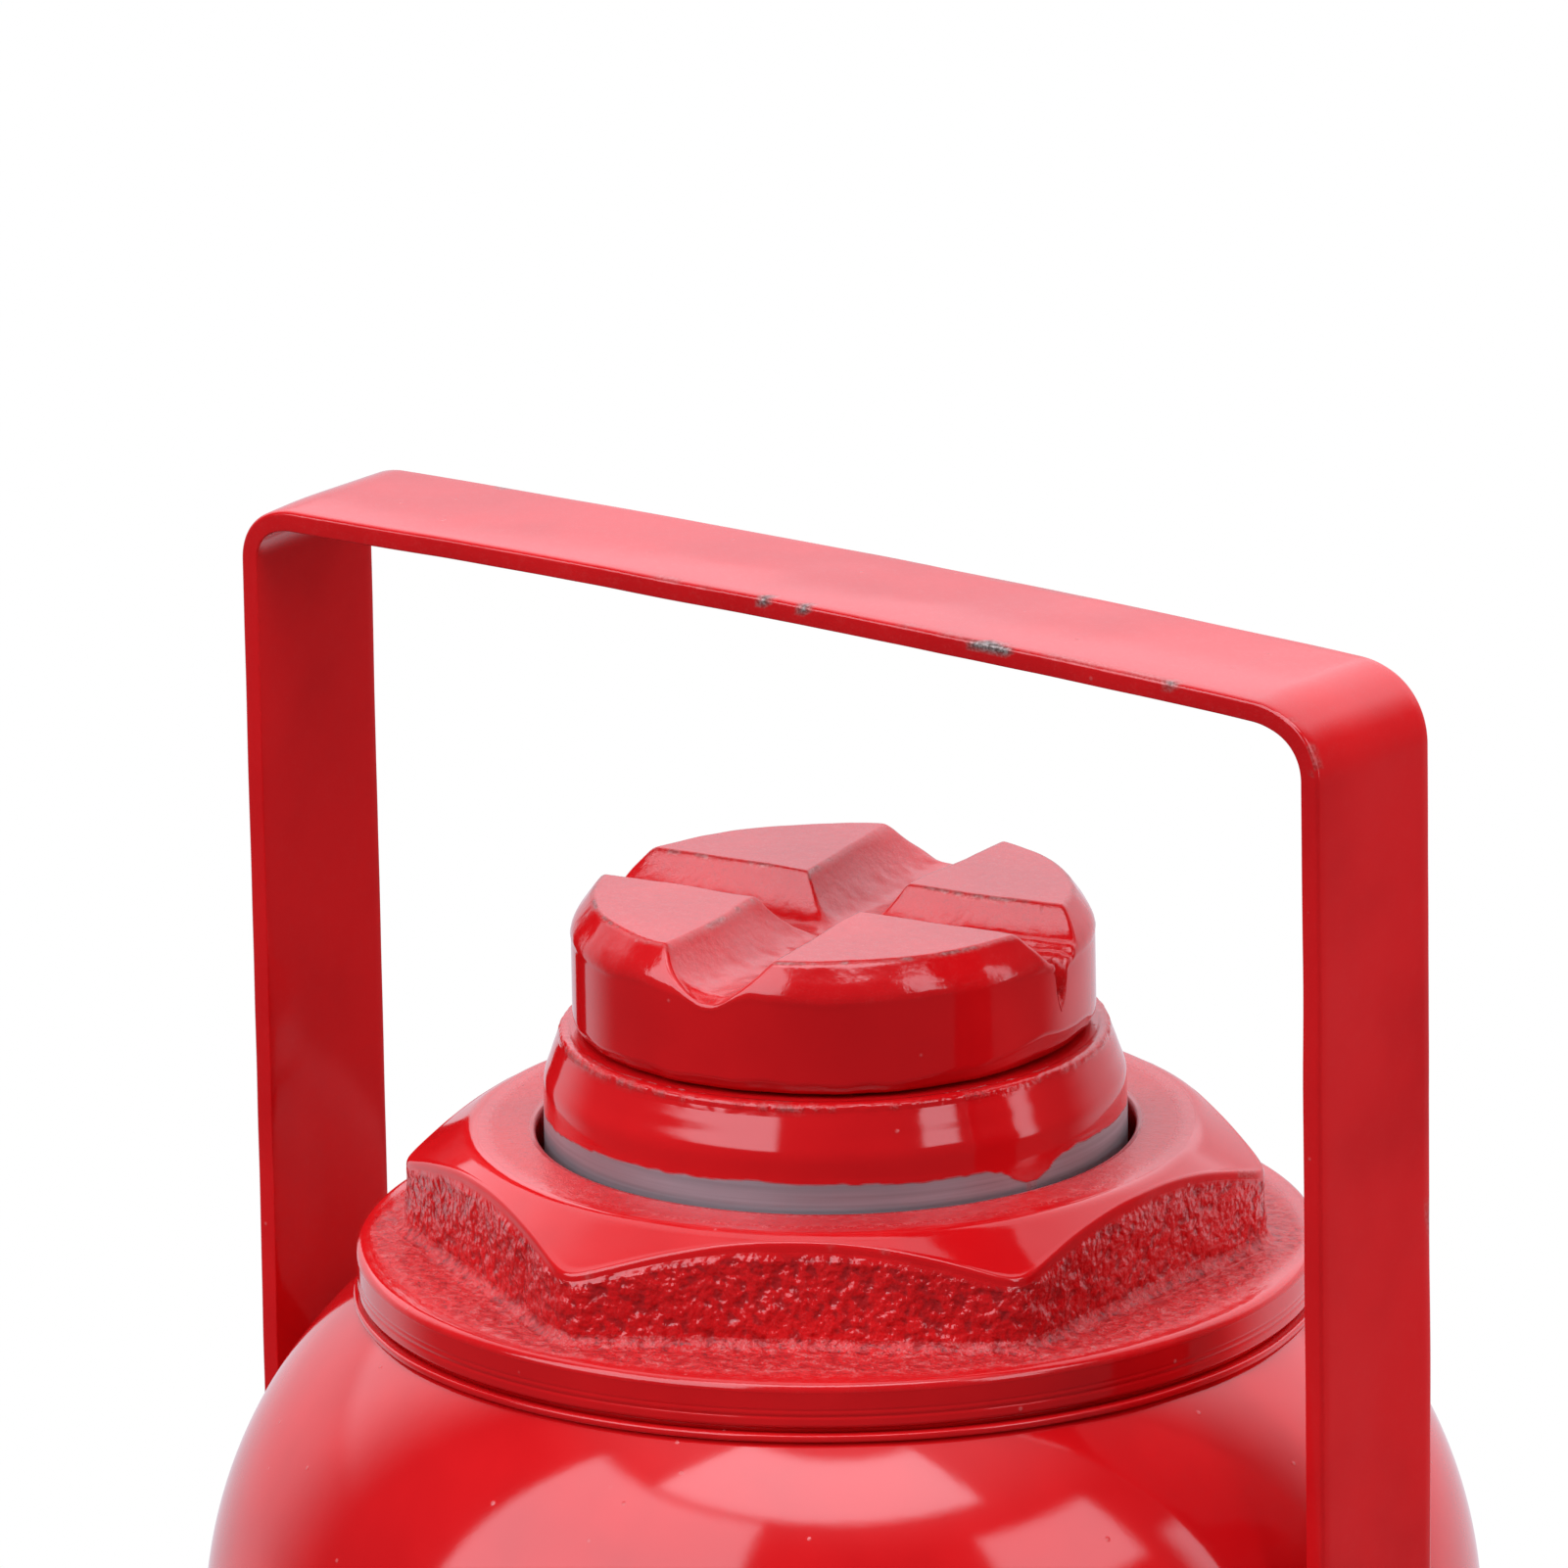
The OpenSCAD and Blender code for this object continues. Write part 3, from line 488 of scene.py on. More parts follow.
def buildHandle(cut):
    low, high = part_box("carry_handle")
    left, right, top = low[0] / mm, high[0] / mm, high[2] / mm
    half = (high[1] - low[1]) / mm / 2
    spots = strapRoute({**cut, "endRadius": half}, left, right, top)
    section = strapSection(cut, half)
    across, depth, edge = (section[:, k][None, :] for k in range(3))
    x, z, outX, outZ, share = (spots[:, k][:, None] for k in range(5))
    onBar = np.clip(outZ, 0, 1)
    middle = (left + right) / 2
    arch = np.clip(1 - ((x - middle) / (right - left) * 2.15) ** 2, 0, 1) - 0.55
    bow = cut["bow"] * arch * onBar ** 3
    bow = bow - cut["crown"] * np.clip(-across / half, 0, 1) ** 2 * onBar
    px = x + outX * depth
    pz = z + outZ * depth + bow
    py = across * share + 0 * x
    points = np.stack([px, py, pz], -1) * mm
    # the strap was sheared and bent by a press, so its faces are a little uneven
    swell = lumps(points, 16 * mm, 3) * 0.10 + lumps(points, 5 * mm, 4) * 0.018
    points[..., 1] += np.sign(across) * lumps(points, 7 * mm, 5) * 0.06 * mm * np.minimum(share, 1)
    points[..., 0] += outX * swell * mm
    points[..., 2] += outZ * swell * mm
    points[..., 2] = np.minimum(points[..., 2], (top + 0.45) * mm)
    rubbed = lumps(points, 2.6 * mm, 6) * 0.5 + lumps(points, 0.9 * mm, 7) * 0.5
    rubbed += lumps(points, 14 * mm, 8) * 0.6
    sharp = edge * (depth > -0.3) * (outZ > 0.2) * (x > -20)
    wear = edge * step(rubbed, 0.72, 0.9) * 0.7 + sharp * step(rubbed, 0.05, 0.4) * 0.25
    nearEdge = (outZ > 0.9) * (py < 0) * (depth > -1.4)
    for chipX, reach in cut["chips"]:
        gone = np.hypot((px - chipX) / reach, np.abs(py) - half + 0 * px) + lumps(points, 0.8 * mm, 9) * 0.35
        wear = np.maximum(wear, (1 - step(gone, 0.75, 1.0)) * nearEdge)
    dust = onBar * 0.05 * np.ones_like(px) + 0.02
    rows, columns = px.shape
    faces = [face[::-1] for face in gridFaces(rows, columns)]
    faces.append(list(range(columns)))
    faces.append([(rows - 1) * columns + j for j in range(columns)][::-1])
    piece = newPiece("carryStrap", points.reshape(-1, 3), faces, "red_enamel",
                     {"wear": wear, "dust": dust, "cast": 0 * wear})
    z = cut["pivotHeight"] * mm
    cutWith(piece, [rod((x * mm - 0.02, 0, z), (x * mm + 0.02, 0, z), cut["holeRadius"] * mm)
                    for x in (left, right)])
    fixNormals(piece)
    settle(piece, "carry_handle")


buildHandle(handleCut)


saddleShape = {
    "turn": 9.0,
    "radius": 31.4,
    "chamferStart": 28.6,
    "chamferDrop": 3.8,
    "grooveHalves": (5.9, 6.8),
    "grooveDepth": 5.6,
    "grooveCurve": 2.3,   # higher is flatter at the bottom
    "exitRise": 0.7,
    "drips": ((1.4, 0.45), (3.0, 0.38), (-2.2, 0.30)),  # across the groove, height
    "edgeSoftness": 0.8,
    "rimRound": 1.0,
    "lowChamfer": 1.3,
    "trimSide": 56.0,     # heading of the uneven trimmed edge, from the side seen
    "capHeight": 16.0,
    "stubRadius": 12.0,
    "stubHeight": 16.0,
    "ringGroove": (10.4, 6.6, 9.0),  # radius, first and last depth below the cap
}


def buildSaddle(shape):
    low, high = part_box("saddle")
    top, under = high[2] / mm, high[2] / mm - shape["capHeight"]
    radius = shape["radius"]
    steps = 720
    radii = np.concatenate([np.linspace(0.3, 27.6, 92), np.linspace(27.9, radius, 24)])
    angles = np.arange(steps) * 2 * math.pi / steps
    r, angle = np.meshgrid(radii, angles, indexing="ij")
    x, y = r * np.cos(angle), r * np.sin(angle)
    flat = np.stack([x, y, 0 * x], -1) * mm
    face = lumps(flat, 22 * mm, 21) * 0.25 + lumps(flat, 7 * mm, 22) * 0.07 - 0.2
    cone = -(r - shape["chamferStart"]) * shape["chamferDrop"] / (radius - shape["chamferStart"])
    cone += lumps(flat, 6 * mm, 23) * 0.32 + lumps(flat, 2.6 * mm, 30) * 0.10
    height = softLower(face, cone, 0.7)
    flatness = height.copy()
    nearEdge = np.exp(-((face - cone) / 0.30) ** 2)
    for k in (0, 1):
        a = math.radians(shape["turn"] + 90 * k)
        along = x * math.cos(a) + y * math.sin(a)
        across = -x * math.sin(a) + y * math.cos(a) + lumps(flat, 9 * mm, 24 + k) * 0.45
        half = shape["grooveHalves"][k] * (1 + 0.10 * (np.abs(along) / radius) ** 2)
        deep = shape["grooveDepth"] - shape["exitRise"] * (np.abs(along) / radius) ** 2
        groove = -deep + deep * (np.abs(across) / half) ** shape["grooveCurve"]
        if k == 0:
            # thick paint ran along the right-hand exit and dripped at its end
            out = step(along, 13, 17)
            for place, size in shape["drips"]:
                groove = groove + out * size * np.exp(-((across - place) / 0.5) ** 2)
            notch = -8.4 + 8.4 * (np.abs(across + 0.8) / 2.4) ** 1.5
            groove = softLower(groove, notch + 30 * (1 - step(along, 26.5, 29.5)), 0.6)
        nearEdge = np.maximum(nearEdge, np.exp(-((flatness - groove) / 0.55) ** 2))
        worn = step(-across, 0, 2) * step(along, 8, 20) + step(across, 0, 2) * step(along, 18, 30) * 0.4
        height = softLower(height, groove, shape["edgeSoftness"] + 2.4 * k * worn)
    nearEdge = nearEdge * (flatness - height < 0.8) * (flatness > -0.75)
    inGroove = step(flatness - height, 0.6, 2.2)
    inBed = inGroove * (1 - step(height, -4.2, -3.0))
    height += inBed * (lumps(flat, 3.2 * mm, 27) * 0.12 + lumps(flat, 1.3 * mm, 28) * 0.06)
    height += lumps(flat, 2.2 * mm, 29) * 0.025
    rollWide = shape["rimRound"] * (1 + 0.9 * inGroove)
    part = np.clip((r - radius + rollWide) / rollWide, 0, 1)
    height -= shape["rimRound"] * (0.9 + 1.5 * inGroove) * (1 - np.sqrt(np.clip(1 - part ** 2, 0, 1)))
    points = np.stack([x, y, top + height], -1)
    heading = (angles - facing + math.pi) % (2 * math.pi) - math.pi
    trim = np.exp(-((np.degrees(heading) - shape["trimSide"]) / 19) ** 2)
    circle = np.stack([np.cos(angles), np.sin(angles), 0 * angles], -1)
    ragged = lumps(circle * radius * mm, 4 * mm, 31)
    lowEdge = shape["lowChamfer"] + 1.9 * trim + (0.35 + 0.6 * trim) * ragged
    lean = 0.7 + 0.6 * trim + 0.2 * ragged
    rows = [points]
    rimHeight = points[-1, :, 2]
    for t in np.linspace(0.05, 1, 22):
        z = rimHeight + (under + lowEdge - rimHeight) * t
        side = np.stack([np.cos(angles) * radius, np.sin(angles) * radius, z], -1)
        bulge = lumps(side * mm, 11 * mm, 32) * 0.06 - 0.05
        side[:, 0] += np.cos(angles) * bulge
        side[:, 1] += np.sin(angles) * bulge
        rows.append(side[None])
    for t in (0.18, 0.6, 1.0):
        rr = radius - 0.06 - lean * t
        z = under + lowEdge * (1 - t)
        rows.append(np.stack([np.cos(angles) * rr, np.sin(angles) * rr, z + 0 * angles], -1)[None])
    stub, end = shape["stubRadius"], under - shape["stubHeight"]
    neck, first, last = shape["ringGroove"]
    outline = easedOutline([(30.0, under, 0), (stub + 1, under, 0.6), (stub, under - 0.8, 0.3),
                            (stub, under - first, 0), (neck, under - first, 0), (neck, under - last, 0),
                            (stub, under - last, 0), (stub, end + 0.7, 0.2), (stub - 0.7, end, 0.2),
                            (0.4, end, 0)], 3, closed=False)
    rows.append(spun(outline, steps) / mm)
    grid = np.concatenate(rows, 0)
    count = grid.shape[0]
    verts = grid.reshape(-1, 3) * mm
    middleTop = len(verts)
    verts = np.vstack([verts, [[0, 0, verts[:steps, 2].mean()]], [[0, 0, end * mm]]])
    faces = [face[::-1] for face in gridFaces(count, steps)]
    last = (count - 1) * steps
    faces += [(middleTop, j, (j + 1) % steps) for j in range(steps)]
    faces += [(middleTop + 1, last + (j + 1) % steps, last + j) for j in range(steps)]
    wear = np.zeros((count, steps))
    rubbed = lumps(points * mm, 3.4 * mm, 33) * 0.6 + lumps(points * mm, 0.9 * mm, 34) * 0.45
    wear[:len(radii)] = nearEdge * (0.15 + 0.5 * step(rubbed, 0.0, 0.35)) * step(rubbed, -0.6, -0.2)
    cast = np.zeros((count, steps))
    cast[:len(radii)] = 0.04 + 0.05 * inGroove
    dust = np.zeros((count, steps))
    onTop = step(flatness, -0.9, -0.45)
    dust[:len(radii)] = 0.05 + 0.2 * np.maximum(onTop, inGroove)
    marks = {key: np.append(value.ravel(), [0, 0]) for key, value in
             (("wear", wear), ("cast", cast), ("dust", dust))}
    piece = newPiece("saddleCap", verts, faces, "red_enamel", marks)
    fixNormals(piece)
    settle(piece, "saddle")


buildSaddle(saddleShape)


ramShape = {
    "radius": 35.0,
    "paintEnd": 273.9,
    "gapHeading": 41.0,   # where the paint runs down to the nut
    "chamfer": (2.2, 6.0),
    "socket": (12.05, 15),     # radius and depth of the hole for the saddle's stub
    "spigot": (26, 19.5),      # radius and height of the part inside the piston
}


def buildRam(shape):
    low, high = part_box("ram")
    top, foot = high[2] / mm, low[2] / mm
    radius = shape["radius"]
    steps = 720
    dx, dz = shape["chamfer"]
    hole, depth = shape["socket"]
    spigot, rise = shape["spigot"]
    corners = [(hole, top - depth, 0), (hole, top, 0.2), (31.6, top, 0), (radius - dx, top, 0.6),
               (radius, top - dz, 1.6), (radius, 275.4, 0), (radius, 271.4, 0), (radius, foot + rise, 0.5),
               (spigot, foot + rise, 0.2), (spigot, foot, 0.6), (0.5, foot, 0), (0.5, top - depth, 0)]
    outline = easedOutline(corners, 6)
    dense = []
    count = len(outline)
    for i in range(count):
        a, b = outline[i], outline[(i + 1) % count]
        inBand = a[0] > radius - 0.1 and 271 < min(a[1], b[1]) and max(a[1], b[1]) < 275.6
        longest = 0.16 if inBand else (0.6 if a[1] > 276 and a[0] > 30 else 12.0)
        parts = max(1, math.ceil(np.linalg.norm(b - a) / longest))
        dense += [a + (b - a) * k / parts for k in range(parts)]
    outline = np.array(dense)
    points = spun(outline, steps)
    angles = np.arange(steps) * 2 * math.pi / steps
    heading = (np.degrees(angles - facing) + 180) % 360 - 180
    edge = (shape["paintEnd"] + 0.35 * lumps(points[0] * [1, 1, 0], 9 * mm, 41)
            - 2.6 * np.exp(-((heading - shape["gapHeading"]) / 6.5) ** 2)
            + 0.6 * np.exp(-((heading + 10) / 30) ** 2))
    z = points[..., 2] / mm
    rough = lumps(points, 0.9 * mm, 42) * 0.16 + lumps(points, 2.4 * mm, 43) * 0.18
    bare = 1 - step(z + rough, edge - 0.12, edge + 0.12)
    inside = (outline[:, 0] < 13)[:, None] | (outline[:, 1] < 260)[:, None]
    bare = np.where(inside, 1.0, bare)
    outward = np.hypot(points[..., 0], points[..., 1])
    above = step(z, edge + 0.1, edge + 0.9) * (outward > 0.034)
    swell = (lumps(points, 14 * mm, 44) * 0.025 + lumps(points, 3.5 * mm, 45) * 0.005 - 0.03) * above
    # paint on the upper edge is chipped and lumpy
    nearTop = np.exp(-((z - top + 0.45) / 0.42) ** 2) * (outward > 0.0318)
    flake = lumps(points, 1.0 * mm, 46) * 0.6 + lumps(points, 6 * mm, 47) * 0.6
    swell += nearTop * (0.3 + flake) * 0.13
    pushOut(points, swell)
    marks = {
        "bare": bare,
        "wear": nearTop * step(flake, 0.3, 0.55) * 0.3,
        "dust": 0.9 * nearTop * step(flake, -0.2, 0.3),
        "cast": 0.25 * nearTop,
    }
    piece = turnedPiece("ramRod", points, "ram_enamel", marks)
    settle(piece, "ram")


buildRam(ramShape)


nutShape = {
    "turn": 32.0,
    "corner": 52.0,
    "cornerRound": 42.0,  # higher is sharper
    "bore": 35.9,
    "face": 44.0,
    "slope": 0.675,
    "flatShift": {2: 0.5, 242: 1.4, 302: 0.1},  # the forging is not quite even
    "flange": 57.9,
    "flangeTop": 257.2,
    "flangeLow": 251.5,
    "fillet": 1.5,
    "flare": 0.25,        # the flats lean out this much on the way down
    "rim": 1.1,
    "skirt": 47.0,
}


def buildNut(shape):
    low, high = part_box("top_nut")
    top, foot = high[2] / mm, low[2] / mm
    steps = 900
    angles = np.arange(steps) * 2 * math.pi / steps
    flatDistance = shape["corner"] * math.cos(math.pi / 6)
    power = shape["cornerRound"]
    total = 0
    for k in range(6):
        normal = round(shape["turn"] + 30 + 60 * k) % 360
        distance = flatDistance + shape["flatShift"].get(normal, 0)
        total = total + (np.clip(np.cos(angles - math.radians(normal)), 0, 1) / distance) ** power
    hexR = total ** (-1 / power)
    ring = np.stack([np.cos(angles), np.sin(angles), 0 * angles], -1) * 0.048
    hexR = hexR + lumps(ring, 13 * mm, 51) * 0.12
    rows, kinds = [], []

    def addRow(r, z, kind):
        rows.append(np.stack([r * np.cos(angles), r * np.sin(angles), z + 0 * angles], -1))
        kinds.append(kind)

    bore, face, slope = shape["bore"], shape["face"], shape["slope"]
    flare, fillet, rim = shape["flare"], shape["fillet"], shape["rim"]
    flange, skirt = shape["flange"], shape["skirt"]
    for r, z in ((38, foot + 0.01), (38, 252), (bore, 252), (bore, 254.9), (38.9, 255), (38.9, 262),
                 (bore, 262.1), (bore, 266), (bore, top - 0.9), (bore + 0.06, top - 0.5),
                 (bore + 0.25, top - 0.18), (bore + 0.6, top - 0.02)):
        addRow(r + 0 * angles, z, "bore")
    for r in np.linspace(bore + 1.0, face - 1.0, 20):
        addRow(r + 0 * angles, top, "face")
    for t in np.linspace(0, 1, 6):
        r = face - 0.8 + 1.6 * t
        addRow(r + 0 * angles, top - slope * 1.6 * t * t * 0.5, "edge")
    start = face + 0.8
    coneEnd = np.maximum(hexR - 0.55, start + 0.12)
    for t in np.linspace(0.12, 1, 10):
        r = start + (coneEnd - start) * t
        addRow(r, top - slope * (r - face), "cone")
    for t in (0.25, 0.5, 0.75, 1.0):
        a = t * math.pi / 2
        r = coneEnd + (hexR - coneEnd) * math.sin(a)
        z = top - slope * (coneEnd - face) - (0.5 + slope * 0.55) * (1 - math.cos(a))
        addRow(r, z, "corner")
    startZ = rows[-1][:, 2]
    endZ = shape["flangeTop"] + fillet
    for t in np.linspace(0.04, 1, 30):
        addRow(hexR + flare * t, startZ + (endZ - startZ) * t, "flat")
    for t in np.linspace(0.15, 1, 7):
        a = t * math.pi / 2
        addRow(hexR + flare + fillet * (1 - math.cos(a)), endZ - fillet * math.sin(a), "root")
    rimStart = flange - rim
    rootR = hexR + flare + fillet
    for t in np.linspace(0.06, 1, 20):
        r = rootR + (rimStart - rootR) * t
        addRow(r, shape["flangeTop"] - 0.10 * t, "ledge")
    for t in np.linspace(0.12, 1, 8):
        a = t * math.pi / 2
        z = shape["flangeTop"] - 0.1 - rim * (1 - math.cos(a))
        addRow(rimStart + rim * math.sin(a) + 0 * angles, z, "rim")
    # turned side: two shallow grooves low down
    sideTop, sideLow = shape["flangeTop"] - 1.3, shape["flangeLow"]
    for z in np.arange(sideTop, sideLow + 0.62, -0.13):
        up = z - sideLow
        depth = 0.10 * math.exp(-((up - 1.55) / 0.16) ** 2) + 0.06 * math.exp(-((up - 2.3) / 0.1) ** 2)
        addRow(flange - depth + 0 * angles, z, "side")
    for r, z in ((flange - 0.06, sideLow + 0.4), (flange - 0.3, sideLow + 0.12), (flange - 0.8, sideLow),
                 (57.1, sideLow - 0.02), (57.0, 250.92), (54, 250.9), (54, 250.4), (skirt, 250.4),
                 (skirt, 246.4), (44.4, 246.4), (44.4, 243), (skirt, 243), (skirt, foot)):
        addRow(r + 0 * angles, z, "under")
    grid = np.array(rows)
    kinds = np.array(kinds)
    points = grid * mm
    outward = np.hypot(points[..., 0], points[..., 1])
    cast = np.zeros(outward.shape)
    dust = np.zeros(outward.shape)
    wear = np.zeros(outward.shape)
    swell = np.zeros(outward.shape)
    lift = np.zeros(outward.shape)
    for kind, castAmount, dustAmount in (("face", 0.10, 0.62), ("edge", 0.0, 0.05), ("flat", 1.0, 0.05),
                                         ("root", 0.9, 0.9), ("ledge", 0.62, 1.0), ("rim", 0.02, 0.05)):
        chosen = kinds == kind
        cast[chosen], dust[chosen] = castAmount, dustAmount
    faceRows = kinds == "face"
    cast[faceRows] *= 1 - 0.4 * step(outward[faceRows], 0.0415, 0.0435)
    dust[faceRows] *= 1 - 0.75 * step(outward[faceRows], 0.0405, 0.043)
    ledgeRows = np.where(kinds == "ledge")[0]
    rimFade = np.linspace(0, 1, len(ledgeRows))[:, None]
    dust[ledgeRows] *= 1 - 0.85 * step(rimFade, 0.62, 0.95)
    cast[ledgeRows] *= 1 - 0.95 * step(rimFade, 0.55, 0.9)
    flatRows = np.where(kinds == "flat")[0]
    fade = np.linspace(0, 1, len(flatRows))[:, None]
    cast[flatRows] *= step(fade, -0.02, 0.12)
    swell[flatRows] = step(fade, 0.0, 0.15) * (lumps(points[flatRows], 4.5 * mm, 52) * 0.2
                                               + lumps(points[flatRows], 2.0 * mm, 53) * 0.24
                                               + lumps(points[flatRows], 1.15 * mm, 54) * 0.13)
    rootRows = np.where(kinds == "root")[0]
    swell[rootRows] = lumps(points[rootRows], 2.0 * mm, 53) * 0.13
    lift[rootRows] = lumps(points[rootRows], 1.6 * mm, 55) * 0.12
    grit = lumps(points[ledgeRows], 1.3 * mm, 55) * 0.13 + lumps(points[ledgeRows], 6 * mm, 56) * 0.10
    lift[ledgeRows] = grit * (1 - 0.9 * step(rimFade, 0.6, 1))
    waves = lumps(points[faceRows], 9 * mm, 57) * 0.04 + lumps(points[faceRows], 1.3 * mm, 58) * 0.018
    lift[faceRows] = waves - 0.05
    coneRows = (kinds == "cone") | (kinds == "edge") | (kinds == "corner")
    lift[coneRows] = lumps(points[coneRows], 7 * mm, 59) * 0.07 - 0.05
    swell[coneRows] = lumps(points[coneRows], 5 * mm, 60) * 0.05
    sideRows = (kinds == "side") | (kinds == "rim")
    swell[sideRows] = lumps(points[sideRows] * [1, 1, 0.2], 14 * mm, 61) * 0.03 - 0.05
    cornerRows = kinds == "corner"
    wear[cornerRows] = step(lumps(points[cornerRows], 3 * mm, 62), 0.6, 0.8) * 0.2
    pushOut(points, swell)
    points[..., 2] += lift * mm
    piece = turnedPiece("nutCasting", points, "red_enamel", {"cast": cast, "dust": dust, "wear": wear})
    settle(piece, "top_nut")


buildNut(nutShape)


shellShape = {
    "radius": 77.3,
    "thickness": 2.6,
    "shoulder": 54.0,
    "mouth": 54.6,
    "edge": 57.4,
    "bossRadius": 9.0,
    "bossHeight": 165.0,
    "fillerRadius": 7.6,
    "fillerHeight": 188.0,
    "fillerAngle": 115.0,
}


def buildShell(shape):
    low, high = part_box("reservoir_shell")
    top, foot = high[2] / mm, low[2] / mm
    radius, thick, bend = shape["radius"], shape["thickness"], shape["shoulder"]
    centre = radius - bend
    bendZ = top - math.sqrt(bend ** 2 - (shape["edge"] - centre) ** 2)
    first = math.acos((shape["edge"] - centre) / bend)
    outline = [(shape["mouth"], top - thick), (shape["mouth"], top - 0.3), (shape["mouth"] + 0.3, top),
               (shape["edge"] - 0.6, top)]
    for a in np.linspace(first, 0, 60):
        outline.append((centre + bend * math.cos(a), bendZ + bend * math.sin(a)))
    outline += [(radius, z) for z in np.arange(bendZ - 3, foot + 2, -3.0)]
    outline += [(radius - 0.05, foot + 0.4), (radius - 0.5, foot)]
    outline += [(radius - thick, foot), (radius - thick, bendZ)]
    for a in np.linspace(0.05, math.acos((shape["mouth"] + 0.8 - centre) / (bend - thick)), 24):
        outline.append((centre + (bend - thick) * math.cos(a), bendZ + (bend - thick) * math.sin(a)))
    outline = np.array(outline)
    steps = 360
    points = spun(outline, steps)
    skin = outline[:, 0] > 57
    wave = lumps(points * [1, 1, 0.6], 34 * mm, 71) * 0.07 + lumps(points, 11 * mm, 72) * 0.012 - 0.08
    pushOut(points, wave * skin[:, None])
    piece = turnedPiece("reservoirSkin", points, "red_enamel")
    reach = (radius + 5) * mm
    z = shape["bossHeight"] * mm
    filler = math.radians(shape["fillerAngle"])
    fx, fy, fz = math.cos(filler), math.sin(filler), shape["fillerHeight"] * mm
    cutWith(piece, [rod((0.05, 0, z), (reach, 0, z), shape["bossRadius"] * mm),
                    rod((-0.05, 0, z), (-reach, 0, z), shape["bossRadius"] * mm),
                    rod((0.05 * fx, 0.05 * fy, fz), (reach * fx, reach * fy, fz),
                        shape["fillerRadius"] * mm)])
    settle(piece, "reservoir_shell")


def buildSealRing(inner):
    low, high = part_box("nut_seal_ring")
    foot, top, outer = low[2] / mm, high[2] / mm, high[0] / mm
    lip = easedOutline([(inner, foot, 0), (outer, foot, 0.3), (outer, top, 0.35), (inner, top, 0)], 4)
    points = spun(lip, 360)
    pushOut(points, lumps(points * [1, 1, 0], 8 * mm, 73) * 0.10 * (lip[:, 0] > 57)[:, None])
    settle(turnedPiece("sealLip", points, "red_enamel"), "nut_seal_ring")


buildShell(shellShape)
buildSealRing(shellShape["mouth"])


baseCast = {"grain": 1.4, "smoothing": 5, "unevenness": 0.16}


def copyOf(node, name):
    mesh = frame["nodes"][node].data.copy()
    mesh.name = name
    mesh.materials.clear()
    piece = bpy.data.objects.new(name, mesh)
    bpy.context.scene.collection.objects.link(piece)
    bm = bmesh.new()
    bm.from_mesh(mesh)
    bmesh.ops.remove_doubles(bm, verts=bm.verts, dist=2e-6)
    bmesh.ops.dissolve_limit(bm, angle_limit=math.radians(0.6), verts=bm.verts, edges=bm.edges)
    bm.to_mesh(mesh)
    bm.free()
    return piece


def buildBase(look):
    piece = copyOf("base", "baseCasting")
    remesh = piece.modifiers.new("cast", "REMESH")
    remesh.mode = "VOXEL"
    remesh.voxel_size = look["grain"] * mm
    soften = piece.modifiers.new("soften", "SMOOTH")
    soften.factor = 0.5
    soften.iterations = look["smoothing"]
    applyAll(piece)
    mesh = piece.data
    count = len(mesh.vertices)
    points = np.empty(count * 3)
    mesh.vertices.foreach_get("co", points)
    points = points.reshape(-1, 3)
    normals = np.array([v.normal for v in mesh.vertices])
    inner = np.hypot(points[:, 0], points[:, 1]) < 0.074
    uneven = lumps(points, 7 * mm, 81) * 0.6 + lumps(points, 2.6 * mm, 82) * 0.4 - 0.4
    uneven = np.where(inner | (points[:, 2] < 0.0012), 0, uneven * look["unevenness"] * mm)
    points = points + normals * uneven[:, None]
    low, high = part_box("base")
    points = np.clip(points, np.array(low), np.array(high))
    mesh.vertices.foreach_set("co", points.ravel())
    upward = np.clip(normals[:, 2], 0, 1)
    paintMarks(mesh, {"cast": np.where(inner, 0.0, 0.55), "dust": upward * 0.45, "wear": 0 * upward})
    mesh.polygons.foreach_set("use_smooth", [True] * len(mesh.polygons))
    mesh.materials.clear()
    mesh.materials.append(finishes["cast_enamel"])
    mesh.update()
    settle(piece, "base")


buildBase(baseCast)


easedEdges = {
    "handle_socket": 0.9, "link_plates": 0.5, "pivot_bolts": 0.5, "pivot_washers": 0.25, "pivot_spacer": 0.3,
    "pump_cylinder": 0.5, "pump_gland_nut": 0.6, "pump_plunger": 0.35, "plunger_pin": 0.5,
    "plunger_pin_clips": 0.2, "link_pin": 0.5, "link_pin_clips": 0.2, "base_pin": 0.5,
    "base_pin_washers": 0.2, "base_pin_clips": 0.2,
    "release_spindle": 0.5, "release_gland_nut": 0.6, "filler_plug": 0.9, "filler_washer": 0.25,
}


def buildSmallParts(edges):
    for node, width in edges.items():
        words = node.split("_")
        name = words[0] + "".join(word.capitalize() for word in words[1:]) + "Eased"
        piece = copyOf(node, name)
        bevel = piece.modifiers.new("edges", "BEVEL")
        bevel.width = width * mm
        bevel.segments = 3
        bevel.limit_method = "ANGLE"
        bevel.angle_limit = math.radians(32)
        bevel.use_clamp_overlap = True
        applyAll(piece)
        mesh = piece.data
        mesh.materials.clear()
        mesh.materials.append(finishes[slotOf[node]])
        mesh.polygons.foreach_set("use_smooth", [True] * len(mesh.polygons))
        mesh.set_sharp_from_angle(angle=math.radians(30))
        settle(piece, node)
        if len(mesh.polygons) == 0:
            raise ValueError("empty copy of " + node)


buildSmallParts(easedEdges)

modelled = {"carry_handle", "saddle", "ram", "top_nut", "reservoir_shell", "nut_seal_ring", "base"}
replaced = modelled | set(easedEdges)
for node, piece in frame["nodes"].items():
    piece.data.materials.clear()
    piece.data.materials.append(finishes[slotOf[node]])
print("CAD nodes shown as they are:", len(set(frame["nodes"]) - replaced))


